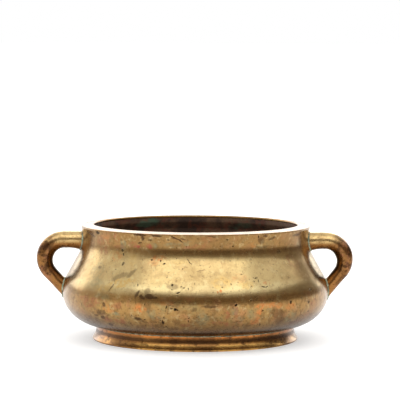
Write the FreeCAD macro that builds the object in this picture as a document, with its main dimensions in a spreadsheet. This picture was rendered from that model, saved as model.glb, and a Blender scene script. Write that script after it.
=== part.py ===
"""Bombe censer: a cast bronze bowl on a splayed foot ring, with two loop handles.

Millimetres, +Z up. The origin is the centre of the ring that the foot stands on,
the handles lie along X and the bowl is turned about Z.
"""
import FreeCAD, Part
import Sketcher
import math
import os

SIZES = [
    # name, size in mm, what it measures
    ("height", 73.0, "floor to the crown of the lip"),
    ("lip_width", 8.0, "flat top of the lip, from the mouth to its outer edge"),
    ("lip_flare", 1.0, "how far the lip stands out from the neck"),
    ("lip_fall", 0.9, "how much lower the lip's outer edge is than its crown"),
    ("lip_edge", 1.2, "height of the lip's outer face"),
    ("lip_depth", 4.5, "depth of the lip on the inside"),
    ("crown_round", 1.0, "rounding of the mouth's inner edge"),
    ("rim_round", 0.5, "rounding of the lip's outer edge"),
    ("neck_radius", 71.3, "outside of the neck at its narrowest"),
    ("neck_depth", 9.0, "crown of the lip down to the narrowest neck"),
    ("neck_blend", 5.2, "length over which the neck turns into the shoulder"),
    ("belly_radius", 84.3, "outside of the belly at its widest"),
    ("belly_share", 0.4493, "height of the widest belly as a part of the whole height"),
    ("belly_blend", 6.4, "length over which the shoulder turns into the belly"),
    ("bowl_wall", 4.5, "thickness of the cast wall and floor"),
    ("foot_height", 10.0, "floor to the underside of the bowl"),
    ("foot_waist", 62.4, "outside of the foot ring where it meets the bowl"),
    ("foot_flare", 2.6, "how far the foot ring spreads below its waist"),
    ("foot_roll", 1.3, "radius of the rolled lower edge"),
    ("foot_wall", 3.6, "thickness of the foot ring at its waist"),
    ("foot_base", 4.2, "width of the foot ring at the floor, roll included"),
    ("solder", 0.5, "thickness of every soldered joint"),
    ("solder_spread", 0.2, "how far solder stands out round a handle's end"),
    ("handle_drop", 10.6, "crown of the lip down to the middle of the upper arm"),
    ("handle_stand", 16.0, "widest belly out to the farthest point of the handle"),
    ("bend_share", 0.365, "the handle's bend radius as a part of its arms' distance in height"),
    ("handle_root", 5.5, "radius of the round handle at the neck"),
    ("handle_shoulder", 5.3, "radius of the handle where its upper arm starts to bend"),
    ("handle_crook", 5.3, "radius of the handle half way round its bend"),
    ("handle_tail", 4.35, "radius of the handle's lower arm"),
    ("upper_tenon", 3.4, "radius of the peg through the neck"),
    ("lower_tenon", 2.6, "radius of the peg through the belly"),
    ("tenon_play", 0.1, "clearance round a peg in its hole"),
    ("tenon_shy", 0.4, "how far a peg stops short of the bowl's inside"),
]

# Lengths and heights worked out from the sizes, each written once
MOUTH = "(sizes.neck_radius + sizes.lip_flare - sizes.lip_width)"
LIP = "(sizes.neck_radius + sizes.lip_flare)"
NECK_LEVEL = "(sizes.height - sizes.neck_depth)"
BELLY_LEVEL = "(sizes.height * sizes.belly_share)"
RIM_LEVEL = "(sizes.height - sizes.lip_fall)"
EDGE_LEVEL = "(sizes.height - sizes.lip_fall - sizes.lip_edge)"
UNDER_RADIUS = f"({BELLY_LEVEL} - sizes.foot_height)"
RING_LEVEL = "(sizes.foot_height - sizes.solder)"
FOOT_RADIUS = "(sizes.foot_waist + sizes.foot_flare)"
ARM_LEVEL = "(sizes.height - sizes.handle_drop)"
HANDLE_REACH = "(sizes.belly_radius + sizes.handle_stand)"
BEND_RADIUS = f"(({ARM_LEVEL} - {BELLY_LEVEL}) * sizes.bend_share)"
BEND_CENTRE = f"({HANDLE_REACH} - sizes.handle_crook - {BEND_RADIUS})"

# Margin by which a cutting shape runs past what it cuts
CUT_MARGIN = 2.0

# A curve drawn where the bowl itself is, and not moved outwards
IN_PLACE = "0"

# How close an edge has to be to the place that it is looked for
EDGE_TOLERANCE = 1e-3

# Places along one edge of a path
AT_START, HALF_WAY, AT_END = 0.0, 0.5, 1.0

# Places of a point on a sketch's curve, as the sketcher counts them from one
START, END, CENTRE = range(1, 4)
ORIGIN = -1
AXIS_X = -1
AXIS_Y = -2

UP = FreeCAD.Vector(0, 0, 1)
QUARTER = math.pi / 2

document = FreeCAD.newDocument("bombe_censer")


def make_sheet():
    """Write the driving sizes into the document's sheet, one row each."""
    sheet = document.addObject("Spreadsheet::Sheet", "sizes")
    for row, (name, size, meaning) in enumerate(SIZES, start=1):
        sheet.set(f"A{row}", name)
        sheet.set(f"B{row}", str(size))
        sheet.setAlias(f"B{row}", name)
        sheet.set(f"C{row}", meaning)
    document.recompute()
    return sheet


sheet = make_sheet()


def value(expression):
    """Return the number that an expression over the sheet gives now."""
    result = sheet.evalExpression(expression.replace("sizes.", ""))
    return float(getattr(result, "Value", result))


def plane(body, role):
    """Return one of the body's own origin planes."""
    for feature in body.Origin.OriginFeatures:
        if feature.Role == role:
            return feature
    raise LookupError(role)


class Profile:
    """A sketch on one of its body's planes, with every size bound to the sheet."""

    def __init__(self, body, name, role="XZ_Plane"):
        self.sketch = body.newObject("Sketcher::SketchObject", name)
        self.sketch.AttachmentSupport = [(plane(body, role), "")]
        self.sketch.MapMode = "FlatFace"

    def add(self, kind, *place):
        """Add one constraint."""
        return self.sketch.addConstraint(Sketcher.Constraint(kind, *place))

    def bind(self, kind, place, expression):
        """Add a constraint whose size follows an expression."""
        index = self.add(kind, *place, value(expression))
        self.sketch.setExpression(f"Constraints[{index}]", expression)

    def fix(self, curve, end, across, along):
        """Hold one point of a curve at two expressions; "0" puts it on the axis."""
        if across == "0":
            self.add("PointOnObject", curve, end, AXIS_Y)
        else:
            self.bind("DistanceX", (ORIGIN, START, curve, end), across)
        if along == "0":
            self.add("PointOnObject", curve, end, AXIS_X)
        else:
            self.bind("DistanceY", (ORIGIN, START, curve, end), along)

    def join(self, first, first_end, second, second_end):
        """Make two curves meet."""
        self.add("Coincident", first, first_end, second, second_end)

    def line(self, start, end):
        """Draw a line between two (x, y) places."""
        return self.sketch.addGeometry(
            Part.LineSegment(FreeCAD.Vector(*start, 0), FreeCAD.Vector(*end, 0)), False
        )

    def arc(self, centre, radius, start_angle, end_angle):
        """Draw an arc, counter-clockwise."""
        circle = Part.Circle(FreeCAD.Vector(*centre, 0), UP, radius)
        return self.sketch.addGeometry(Part.ArcOfCircle(circle, start_angle, end_angle), False)

    def guide(self, across, along):
        """Place a construction point that a line has to pass through."""
        place = FreeCAD.Vector(value(across), value(along), 0)
        point = self.sketch.addGeometry(Part.Point(place), True)
        self.fix(point, START, across, along)
        return point

    def chain(self, corners):
        """Draw straight lines through corners given as expressions, and return them."""
        places = [(value(across), value(along)) for across, along in corners]
        lines = [self.line(start, end) for start, end in zip(places, places[1:])]
        self.fix(lines[0], START, *corners[0])
        for line, corner in zip(lines, corners[1:]):
            self.fix(line, END, *corner)
        for before, after in zip(lines, lines[1:]):
            self.join(before, END, after, START)
        return lines

    def circle(self, across, along, radius):
        """Draw a full circle from expressions."""
        centre = FreeCAD.Vector(value(across), value(along), 0)
        ring = self.sketch.addGeometry(Part.Circle(centre, UP, value(radius)), False)
        self.fix(ring, CENTRE, across, along)
        self.bind("Radius", (ring,), radius)
        return ring


def bowl_curve(profile, shift):
    """Draw the bowl's side from neck to floor, moved outwards by an expression.

    The shoulder is a straight slope, blended into the upright neck and into the
    upright belly over the lengths in the sheet; below the belly a quarter circle
    runs under to the level floor.

    Returns:
        The arc that starts at the neck and the arc that starts at the floor.
    """
    neck = (f"sizes.neck_radius + {shift}", NECK_LEVEL)
    belly = (f"sizes.belly_radius + {shift}", BELLY_LEVEL)
    neck_corner = (neck[0], f"{NECK_LEVEL} - sizes.neck_blend")
    belly_corner = (belly[0], f"{BELLY_LEVEL} + sizes.belly_blend")

    neck_x, neck_y = value(neck[0]), value(neck[1])
    belly_x, belly_y = value(belly[0]), value(belly[1])
    run = value(belly_corner[0]) - value(neck_corner[0])
    drop = value(neck_corner[1]) - value(belly_corner[1])
    slope = math.atan2(run, drop)
    neck_turn = value("sizes.neck_blend") / math.tan(slope / 2)
    belly_turn = value("sizes.belly_blend") / math.tan(slope / 2)
    neck_centre = (neck_x + neck_turn, neck_y)
    belly_centre = (belly_x - belly_turn, belly_y)
    across, down = math.cos(slope), math.sin(slope)
    slope_start = (neck_centre[0] - neck_turn * across, neck_y - neck_turn * down)
    slope_end = (belly_centre[0] + belly_turn * across, belly_y + belly_turn * down)

    neck_arc = profile.arc(neck_centre, neck_turn, math.pi, math.pi + slope)
    shoulder = profile.line(slope_start, slope_end)
    belly_arc = profile.arc(belly_centre, belly_turn, 0, slope)
    under_radius = value(f"{UNDER_RADIUS} + {shift}")
    under_centre = (value(f"sizes.belly_radius - {UNDER_RADIUS}"), belly_y)
    under_arc = profile.arc(under_centre, under_radius, 3 * QUARTER, 4 * QUARTER)

    profile.fix(neck_arc, START, *neck)
    profile.add("Horizontal", neck_arc, START, neck_arc, CENTRE)
    profile.add("Tangent", neck_arc, END, shoulder, START)
    for corner in (neck_corner, belly_corner):
        profile.add("PointOnObject", profile.guide(*corner), START, shoulder)
    profile.add("Tangent", shoulder, END, belly_arc, END)
    profile.fix(belly_arc, START, *belly)
    profile.add("Horizontal", belly_arc, START, belly_arc, CENTRE)
    profile.join(belly_arc, START, under_arc, END)
    profile.add("Horizontal", under_arc, END, under_arc, CENTRE)
    profile.bind("Radius", (under_arc,), f"{UNDER_RADIUS} + {shift}")
    profile.add("Vertical", under_arc, START, under_arc, CENTRE)
    return neck_arc, under_arc


def bowl_region(profile, shift=IN_PLACE, outside=False):
    """Close the bowl's outside into a region, up to the axis or outside of the bowl.

    Args:
        profile: the profile to draw in.
        shift: expression that moves the whole side outwards.
        outside: True for the region beyond the bowl, for trimming what is laid on it.
    """
    neck_arc, under_arc = bowl_curve(profile, shift)
    lip = f"{LIP} + {shift}"
    floor = f"sizes.foot_height - {shift}"
    if outside:
        upper = [(HANDLE_REACH, RIM_LEVEL), (lip, RIM_LEVEL), (lip, EDGE_LEVEL)]
    else:
        upper = [("0", "sizes.height"), (MOUTH, "sizes.height"), (lip, RIM_LEVEL), (lip, EDGE_LEVEL)]

    rise = value(EDGE_LEVEL) - value(NECK_LEVEL)
    flare = value("sizes.lip_flare")
    cove_radius = (flare * flare + rise * rise) / (2 * flare)
    cove_centre = (value(f"sizes.neck_radius + {shift}") + cove_radius, value(NECK_LEVEL))
    cove = profile.arc(cove_centre, cove_radius, math.pi - math.asin(rise / cove_radius), math.pi)
    profile.join(cove, END, neck_arc, START)
    profile.add("Horizontal", cove, END, cove, CENTRE)

    top = profile.chain(upper)
    profile.join(cove, START, top[-1], END)

    floor_start = (value(f"sizes.belly_radius - {UNDER_RADIUS}"), value(floor))
    side, top_level = value(upper[0][0]), value(upper[0][1])
    bottom = profile.line(floor_start, (side, value(floor)))
    closing = profile.line((side, value(floor)), (side, top_level))
    profile.join(under_arc, START, bottom, START)
    profile.add("Horizontal", bottom)
    profile.join(bottom, END, closing, START)
    profile.add("Vertical", closing)
    profile.join(closing, END, top[0], START)


def new_body(label):
    """Make a sub-part's body."""
    body = document.addObject("PartDesign::Body", label)
    body.Label = label
    return body


def revolve(body, kind, name, profile):
    """Turn a profile about the upright axis, as an added or a removed solid."""
    feature = body.newObject(f"PartDesign::{kind}", name)
    feature.Profile = profile.sketch
    feature.ReferenceAxis = (profile.sketch, ["V_Axis"])
    profile.sketch.Visibility = False
    return feature


def edges_at(shape, radius, level):
    """Name the round edges about the upright axis with this radius and height."""
    names = []
    for index, edge in enumerate(shape.Edges, start=1):
        curve = edge.Curve
        if not isinstance(curve, Part.Circle):
            continue
        misses = [math.hypot(curve.Center.x, curve.Center.y), curve.Radius - radius, curve.Center.z - level]
        if all(abs(miss) < EDGE_TOLERANCE for miss in misses):
            names.append(f"Edge{index}")
    return names


def round_edge(body, name, base, radius, level, size):
    """Round one turned edge of a body, its size bound to the sheet."""
    document.recompute()
    fillet = body.newObject("PartDesign::Fillet", name)
    fillet.Base = (base, edges_at(base.Shape, value(radius), value(level)))
    fillet.Radius = value(size)
    fillet.setExpression("Radius", size)
    return fillet


def tenon_profile(body, name, level, radius):
    """Draw a handle peg's round outline, seen along X."""
    profile = Profile(body, name, "YZ_Plane")
    profile.circle("0", level, radius)
    return profile


def drill(body, name, level, radius):
    """Bore both sides of a body along X for a handle's pegs."""
    profile = tenon_profile(body, f"{name}_outline", level, f"{radius} + sizes.tenon_play")
    pocket = body.newObject("PartDesign::Pocket", name)
    pocket.Profile = profile.sketch
    pocket.Type = "ThroughAll"
    pocket.Midplane = True
    profile.sketch.Visibility = False
    return pocket


def make_vessel_body():
    """Cast bowl: solid of the outside, hollowed, with its lip rounded and peg holes bored."""
    body = new_body("vessel_body")
    outside = Profile(body, "outside")
    bowl_region(outside)
    revolve(body, "Revolution", "turned_outside", outside)

    inside = Profile(body, "inside")
    neck_arc, under_arc = bowl_curve(inside, "(0 - sizes.bowl_wall)")
    above = f"sizes.height + {CUT_MARGIN}"
    floor = "sizes.foot_height + sizes.bowl_wall"
    upper = inside.chain([("0", above), (MOUTH, above), (MOUTH, "sizes.height - sizes.lip_depth")])
    under_lip = inside.line(
        (value(MOUTH), value("sizes.height - sizes.lip_depth")),
        (value("sizes.neck_radius - sizes.bowl_wall"), value(NECK_LEVEL)),
    )
    inside.join(upper[-1], END, under_lip, START)
    inside.join(under_lip, END, neck_arc, START)
    floor_line = inside.line(
        (value(f"sizes.belly_radius - {UNDER_RADIUS}"), value(floor)), (0, value(floor))
    )
    axis_line = inside.line((0, value(floor)), (0, value(above)))
    inside.join(under_arc, START, floor_line, START)
    inside.add("Horizontal", floor_line)
    inside.join(floor_line, END, axis_line, START)
    inside.add("Vertical", axis_line)
    inside.join(axis_line, END, upper[0], START)
    hollow = revolve(body, "Groove", "hollow", inside)

    crown = round_edge(body, "crown_edge", hollow, MOUTH, "sizes.height", "sizes.crown_round")
    round_edge(body, "rim_edge", crown, LIP, RIM_LEVEL, "sizes.rim_round")
    drill(body, "neck_holes", ARM_LEVEL, "sizes.upper_tenon")
    drill(body, "belly_holes", BELLY_LEVEL, "sizes.lower_tenon")
    return body


def make_foot_ring():
    """Splayed ring: hollow cove outside, rolled lower edge, plain cone inside."""
    body = new_body("foot_ring")
    ring = Profile(body, "ring")
    rise = value(RING_LEVEL) - value("sizes.foot_roll")
    flare = value("sizes.foot_flare")
    roll = value("sizes.foot_roll")
    cove_radius = (rise * rise + flare * flare - 2 * flare * roll) / (2 * flare)
    cove_centre = (value("sizes.foot_waist") + cove_radius, value(RING_LEVEL))
    roll_centre = (value(FOOT_RADIUS) - roll, roll)
    meeting = math.atan2(cove_centre[1] - roll_centre[1], cove_centre[0] - roll_centre[0])

    rolled = ring.arc(roll_centre, roll, -QUARTER, meeting)
    cove = ring.arc(cove_centre, cove_radius, math.pi, math.pi + meeting)
    inner = ring.chain([
        ("sizes.foot_waist", RING_LEVEL),
        ("sizes.foot_waist - sizes.foot_wall", RING_LEVEL),
        (f"{FOOT_RADIUS} - sizes.foot_base", "0"),
    ])
    rest = ring.line((value(f"{FOOT_RADIUS} - sizes.foot_base"), 0), (roll_centre[0], 0))
    ring.join(cove, START, inner[0], START)
    ring.add("Horizontal", cove, START, cove, CENTRE)
    ring.add("Tangent", cove, END, rolled, END)
    ring.fix(rolled, CENTRE, f"{FOOT_RADIUS} - sizes.foot_roll", "sizes.foot_roll")
    ring.bind("Radius", (rolled,), "sizes.foot_roll")
    ring.add("Vertical", rolled, START, rolled, CENTRE)
    ring.join(inner[-1], END, rest, START)
    ring.join(rest, END, rolled, START)
    revolve(body, "Revolution", "turned_ring", ring)
    return body


def make_foot_seam():
    """Line of solder between the foot ring and the bowl's underside."""
    body = new_body("foot_seam")
    band = Profile(body, "band")
    inner_radius = "sizes.foot_waist - sizes.foot_wall"
    band.chain([
        (inner_radius, RING_LEVEL),
        ("sizes.foot_waist", RING_LEVEL),
        ("sizes.foot_waist", BELLY_LEVEL),
        (inner_radius, BELLY_LEVEL),
        (inner_radius, RING_LEVEL),
    ])
    revolve(body, "Revolution", "turned_band", band)
    trim_to_bowl(body)
    return body


def trim_to_bowl(body, gap=IN_PLACE):
    """Cut away all that would lie in the bowl, or closer to it than a gap."""
    bowl = Profile(body, "bowl_outside")
    bowl_region(bowl, gap)
    return revolve(body, "Groove", "cut_to_bowl", bowl)


def path_station(body, name, path, edge, along, radius):
    """Draw a round section square to a path, part of the way along one of its edges."""
    section = body.newObject("Sketcher::SketchObject", name)
    section.AttachmentSupport = [(path, edge)]
    section.MapMode = "NormalToEdge"
    section.MapPathParameter = along
    ring = section.addGeometry(Part.Circle(FreeCAD.Vector(), UP, value(radius)), False)
    section.addConstraint(Sketcher.Constraint("Coincident", ring, CENTRE, ORIGIN, START))
    index = section.addConstraint(Sketcher.Constraint("Radius", ring, value(radius)))
    section.setExpression(f"Constraints[{index}]", radius)
    return section


def handle_path(body):
    """Draw the handle's middle line: level arm, bend, and arm running in to the belly."""
    path = Profile(body, "middle_line")
    bend = value(BEND_RADIUS)
    centre_x = value(BEND_CENTRE)
    level = value(ARM_LEVEL)
    centre_y = level - bend
    foot_x, foot_y = value("sizes.belly_radius"), value(BELLY_LEVEL)
    offset = math.hypot(foot_x - centre_x, foot_y - centre_y)
    leaving = math.atan2(foot_y - centre_y, foot_x - centre_x) + math.acos(bend / offset)
    left_bend = (centre_x + bend * math.cos(leaving), centre_y + bend * math.sin(leaving))
    depth = value("sizes.bowl_wall")
    slope = (foot_y - left_bend[1]) / (foot_x - left_bend[0])
    end = (foot_x - depth, foot_y - depth * slope)

    upper = path.line((value("sizes.neck_radius - sizes.bowl_wall"), level), (centre_x, level))
    turn = path.arc((centre_x, centre_y), bend, leaving, QUARTER)
    lower = path.line(left_bend, end)
    path.fix(upper, START, "sizes.neck_radius - sizes.bowl_wall", ARM_LEVEL)
    path.add("Horizontal", upper)
    path.add("Tangent", upper, END, turn, END)
    path.add("Tangent", turn, START, lower, START)
    path.bind("Radius", (turn,), BEND_RADIUS)
    path.bind("DistanceX", (ORIGIN, START, turn, CENTRE), BEND_CENTRE)
    path.add("PointOnObject", path.guide("sizes.belly_radius", BELLY_LEVEL), START, lower)
    path.bind("DistanceX", (ORIGIN, START, lower, END), "sizes.belly_radius - sizes.bowl_wall")
    return path.sketch


def add_peg(body, name, level, radius, surface, bite):
    """Add the peg that holds one end of a handle in the bowl's wall.

    Args:
        body: the handle.
        name: the peg's name.
        level: height of the peg.
        radius: the peg's radius.
        surface: distance of the bowl's outside from the axis at the peg.
        bite: how far the peg reaches into the handle.
    """
    start = f"{surface} - sizes.bowl_wall + sizes.tenon_shy"
    length = f"sizes.bowl_wall - sizes.tenon_shy + sizes.solder + {bite}"
    outline = tenon_profile(body, f"{name}_outline", level, radius)
    outline.sketch.AttachmentOffset = FreeCAD.Placement(
        FreeCAD.Vector(0, 0, value(start)), FreeCAD.Rotation()
    )
    outline.sketch.setExpression("AttachmentOffset.Base.z", start)
    peg = body.newObject("PartDesign::Pad", name)
    peg.Profile = outline.sketch
    peg.Length = value(length)
    peg.setExpression("Length", length)
    outline.sketch.Visibility = False
    return peg


def place(body, turn):
    """Put a handle piece on its side of the bowl, turned about the upright axis."""
    body.Placement = FreeCAD.Placement(FreeCAD.Vector(), FreeCAD.Rotation(UP, turn))
    return body


def make_handle(label, turn):
    """Loop handle of round bar, cut to the bowl's side, with a peg at each end."""
    body = new_body(label)
    path = handle_path(body)
    document.recompute()
    root = path_station(body, "root_section", path, "Edge1", AT_START, "sizes.handle_root")
    others = [
        path_station(body, "shoulder_section", path, "Edge1", AT_END, "sizes.handle_shoulder"),
        path_station(body, "crook_section", path, "Edge2", HALF_WAY, "sizes.handle_crook"),
        path_station(body, "tail_section", path, "Edge3", AT_START, "sizes.handle_tail"),
        path_station(body, "end_section", path, "Edge3", AT_END, "sizes.handle_tail"),
    ]
    document.recompute()
    loop = body.newObject("PartDesign::AdditivePipe", "loop")
    loop.Profile = root
    loop.Spine = path
    loop.Sections = others
    loop.Mode = "Frenet"
    loop.Transformation = "Multisection"
    trim_to_bowl(body, "sizes.solder")
    add_peg(body, "neck_peg", ARM_LEVEL, "sizes.upper_tenon", "sizes.neck_radius", "sizes.handle_root")
    add_peg(body, "belly_peg", BELLY_LEVEL, "sizes.lower_tenon", "sizes.belly_radius",
            "sizes.handle_tail / 2")
    return place(body, turn)


def make_handle_seam(label, turn, arm, along, radius, peg_level, peg_radius):
    """Skin of solder between one end of a handle and the bowl, round the handle's peg.

    Args:
        label: the seam's name.
        turn: side of the bowl, in degrees about the upright axis.
        arm: edge of the handle's middle line that ends at this joint.
        along: which end of that edge lies in the bowl's wall.
        radius: radius of the handle's end.
        peg_level: height of the peg.
        peg_radius: radius of the peg.
    """
    body = new_body(label)
    path = handle_path(body)
    document.recompute()
    end = path_station(body, "end_section", path, arm, along, f"{radius} + sizes.solder_spread")
    document.recompute()
    bar = body.newObject("PartDesign::AdditivePipe", "bar")
    bar.Profile = end
    bar.Spine = (path, [arm])
    trim_to_bowl(body)
    beyond = Profile(body, "beyond_solder")
    bowl_region(beyond, "sizes.solder", outside=True)
    revolve(body, "Groove", "cut_to_thickness", beyond)
    drill(body, "peg_hole", peg_level, peg_radius)
    return place(body, turn)


def make_side(side, turn):
    """Make one handle and the two seams that hold it."""
    return [
        make_handle(f"{side}_handle", turn),
        make_handle_seam(f"{side}_handle_upper_seam", turn, "Edge1", AT_START, "sizes.handle_shoulder",
                         ARM_LEVEL, "sizes.upper_tenon"),
        make_handle_seam(f"{side}_handle_lower_seam", turn, "Edge3", AT_END, "sizes.handle_tail",
                         BELLY_LEVEL, "sizes.lower_tenon"),
    ]


def check_document():
    """Stop with a message if any object of the document has failed."""
    for item in document.Objects:
        if "Invalid" in item.State or "Error" in item.State:
            raise RuntimeError(f"{item.Name} failed: {item.State}")


def export(pieces):
    """Write each sub-part to its own file, after checking its shape."""
    os.makedirs("parts", exist_ok=True)
    for piece in pieces:
        shape = piece.Shape
        if shape.isNull() or not shape.isValid() or len(shape.Solids) != 1:
            raise RuntimeError(f"{piece.Label} is not one valid solid")
    for piece in pieces:
        piece.Shape.exportStep(f"parts/{piece.Label}.step")
        print(piece.Label, round(piece.Shape.Volume), "mm3")


pieces = [make_vessel_body(), make_foot_ring(), make_foot_seam()]
pieces += make_side("right", 0)
pieces += make_side("left", 180)
document.recompute()
check_document()
export(pieces)
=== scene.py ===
"""Looks of a low round bronze censer with two loop handles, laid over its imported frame.

Lengths are millimetres in the classes and metres in the meshes.
The front of the censer faces -Y, its handles stand out along X, and Z is up.
"""

import logging
import math
from dataclasses import dataclass, field
from enum import Enum
from typing import Any, Callable, Sequence

import bmesh
import bpy
from mathutils import Matrix, Vector, noise


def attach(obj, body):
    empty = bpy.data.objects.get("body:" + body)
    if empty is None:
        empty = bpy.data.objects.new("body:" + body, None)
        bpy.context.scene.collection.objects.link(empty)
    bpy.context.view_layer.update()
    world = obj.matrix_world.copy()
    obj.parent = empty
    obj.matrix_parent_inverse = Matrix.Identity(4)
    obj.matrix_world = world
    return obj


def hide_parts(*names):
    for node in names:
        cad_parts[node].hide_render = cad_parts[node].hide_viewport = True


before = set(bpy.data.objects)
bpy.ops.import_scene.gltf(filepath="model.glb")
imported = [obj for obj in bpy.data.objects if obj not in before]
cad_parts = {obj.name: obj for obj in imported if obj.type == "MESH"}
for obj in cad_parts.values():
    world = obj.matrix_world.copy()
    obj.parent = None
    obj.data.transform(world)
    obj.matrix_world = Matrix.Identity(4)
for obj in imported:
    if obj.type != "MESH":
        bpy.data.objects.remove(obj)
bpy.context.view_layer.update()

MM = 0.001
BODY = "root"
LOG = logging.getLogger("censer")
WELD = 1e-7  # m, closer points become one
SHARP = math.radians(38)  # edges that turn more stay sharp
NEARLY = 0.9999  # part of an arc's reach that keeps it short of its neighbour
STILL_MIDDLE = 20.0  # mm from the axis within which the waves die out
HAND_WAVES = ((0.10, 34.0), (0.035, 11.0))  # height and length in mm of what hand finishing leaves
SMOOTH: dict[str, Any] = {"interpolation_type": "SMOOTHSTEP", "clamp": False}

Outline = list[Vector]
Socket = bpy.types.NodeSocket
Tree = bpy.types.NodeTree
Weight = tuple[Socket, float]
Layer = tuple[Socket, float, str]
OutAt = Callable[[float], float]
Pair = tuple[float, float]


# Meshes


@dataclass(frozen=True)
class Corner:
    """One corner of a turned outline.

    Args:
        out: distance from the axis.
        up: height above the base.
        ease: how far from the corner its rounding starts; 0 leaves it sharp.
        ease_on: how far past the corner it ends, where that is another length.
    """

    out: float
    up: float
    ease: float = 0.0
    ease_on: float = 0.0


def rounded_corner(before: Vector, here: Vector, after: Vector, ease: float, ease_on: float) -> Outline:
    """Points of the arc that rounds one corner.

    Args:
        before: the corner before it.
        here: the corner.
        after: the corner after it.
        ease: how far from the corner the arc starts.
        ease_on: how far past the corner it ends, or 0 for the same length.

    Returns:
        The arc's points, first to last: part of an ellipse where the two lengths differ.
    """
    back = (before - here).normalized()
    onward = (after - here).normalized()
    if ease_on:
        turns = [math.pi / 2 * k / 40 for k in range(41)]
        back, onward = back * ease, onward * ease_on
        return [here + back * (1 - math.sin(t)) + onward * (1 - math.cos(t)) for t in turns]
    sweep = math.pi - back.angle(onward)
    radius = ease / math.tan(sweep / 2)
    centre = here + (back + onward).normalized() * math.hypot(radius, ease)
    side = 1.0 if back.x * onward.y - back.y * onward.x < 0 else -1.0
    count = max(3, math.ceil(sweep / math.radians(2.5)))
    spoke = here + back * ease - centre
    return [centre + Matrix.Rotation(side * sweep * k / count, 2) @ spoke for k in range(count + 1)]


def turned_outline(corners: Sequence[Corner], step: float = 0.9) -> Outline:
    """Points along an open outline with its corners rounded.

    Args:
        corners: the outline's corners in order.
        step: the longest gap between two points.

    Returns:
        Points with x as distance from the axis and y as height.
    """
    spots = [Vector((c.out, c.up)) for c in corners]
    bent: Outline = []
    for index, corner in enumerate(corners):
        if corner.ease:
            before, after = spots[index - 1], spots[index + 1]
            bent += rounded_corner(before, spots[index], after, corner.ease, corner.ease_on)
        else:
            bent.append(spots[index])
    points = [bent[0]]
    for spot in bent[1:]:
        gap = (spot - points[-1]).length
        if gap < 1e-6:
            continue
        count = math.ceil(gap / step)
        start = points[-1]
        points += [start.lerp(spot, k / count) for k in range(1, count + 1)]
    return points


def skin(name: str, rows: Sequence[Sequence[Vector]], bands: Sequence[int] = ()) -> bpy.types.Object:
    """A closed mesh over rows of points, each row a closed ring.

    Args:
        name: the piece's name.
        rows: rings of points in mm, with the same count in each; a ring of one spot is a pole.
        bands: the material number of each strip between two rows, or none for one material.

    Returns:
        The new object, smooth shaded but for its sharp edges.
    """
    around = len(rows[0])
    spots = [point * MM for row in rows for point in row]
    faces = []
    for row in range(len(rows) - 1):
        low, high = row * around, (row + 1) * around
        for k in range(around):
            onward = (k + 1) % around
            faces.append((low + k, low + onward, high + onward, high + k))
    mesh = bpy.data.meshes.new(name)
    mesh.from_pydata(spots, [], faces)
    if bands:
        mesh.polygons.foreach_set("material_index", [band for band in bands for _ in range(around)])
    shell = bmesh.new()
    shell.from_mesh(mesh)
    bmesh.ops.remove_doubles(shell, verts=shell.verts, dist=WELD)
    bmesh.ops.recalc_face_normals(shell, faces=shell.faces)
    shell.to_mesh(mesh)
    shell.free()
    mesh.shade_smooth()
    mesh.set_sharp_from_angle(angle=SHARP)
    piece = bpy.data.objects.new(name, mesh)
    bpy.context.scene.collection.objects.link(piece)
    return piece


def turned_rows(outline: Outline, around: int, waver: Callable[[Vector], float]) -> list[list[Vector]]:
    """Rings of points round the Z axis for each point of an outline.

    Args:
        outline: points with x as distance from the axis and y as height.
        around: points in each ring.
        waver: how far a spot stands out from the true turned surface.

    Returns:
        One ring per outline point.
    """
    rows = []
    for spot in outline:
        row = []
        for k in range(around):
            turn = 2 * math.pi * k / around
            out = Vector((math.sin(turn), -math.cos(turn), 0.0))
            true = out * spot.x + Vector((0.0, 0.0, spot.y))
            row.append(true + out * waver(true) * min(1.0, spot.x / STILL_MIDDLE))
        rows.append(row)
    return rows


def hand_waver(point: Vector) -> float:
    """Low waves that casting and hand finishing leave in a turned surface, in mm."""
    return sum(high * noise.noise(point / long) for high, long in HAND_WAVES)


def fit_piece(piece: bpy.types.Object, nodes: Sequence[str]) -> bpy.types.Object:
    """Ties a piece to the frame: its body and the nodes it stands for.

    Args:
        piece: the piece.
        nodes: the nodes it stands for.

    Returns:
        The piece.
    """
    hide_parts(*nodes)
    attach(piece, BODY)
    LOG.info("%s stands for %s with %d faces", piece.name, ", ".join(nodes), len(piece.data.polygons))
    return piece


# Node building


def linear(code: str, alpha: float = 1.0) -> tuple[float, float, float, float]:
    """An sRGB hex colour as linear values.

    Args:
        code: the colour, such as #A0B0C0.
        alpha: how solid it is.

    Returns:
        Red, green, blue and alpha.
    """
    parts = [int(code[k : k + 2], 16) / 255 for k in (1, 3, 5)]
    red, green, blue = (c / 12.92 if c <= 0.04045 else ((c + 0.055) / 1.055) ** 2.4 for c in parts)
    return red, green, blue, alpha


def add_node(tree: Tree, kind: str, feeds: dict[Any, Any] | None = None, **settings: Any) -> bpy.types.Node:
    """Adds one node with its settings, its socket values and the links that feed it.

    Args:
        tree: the tree it joins.
        kind: the node's type name.
        feeds: a value or a socket to link, for each input by name or number.
        settings: the node's own properties.

    Returns:
        The new node.
    """
    node = tree.nodes.new(kind)
    for name, setting in settings.items():
        setattr(node, name, setting)
    for name, feed in (feeds or {}).items():
        if isinstance(feed, Socket):
            tree.links.new(feed, node.inputs[name])
        else:
            node.inputs[name].default_value = feed
    return node


def new_tree(name: str) -> tuple[bpy.types.Material, Tree, Socket]:
    """A material with an empty tree, and the place on the piece as a socket in metres.

    Args:
        name: the material's name.

    Returns:
        The material, its tree and the socket of the place.
    """
    material = bpy.data.materials.new(name)
    material.use_nodes = True
    material.node_tree.nodes.clear()
    place = add_node(material.node_tree, "ShaderNodeTexCoord").outputs["Object"]
    return material, material.node_tree, place


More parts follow.
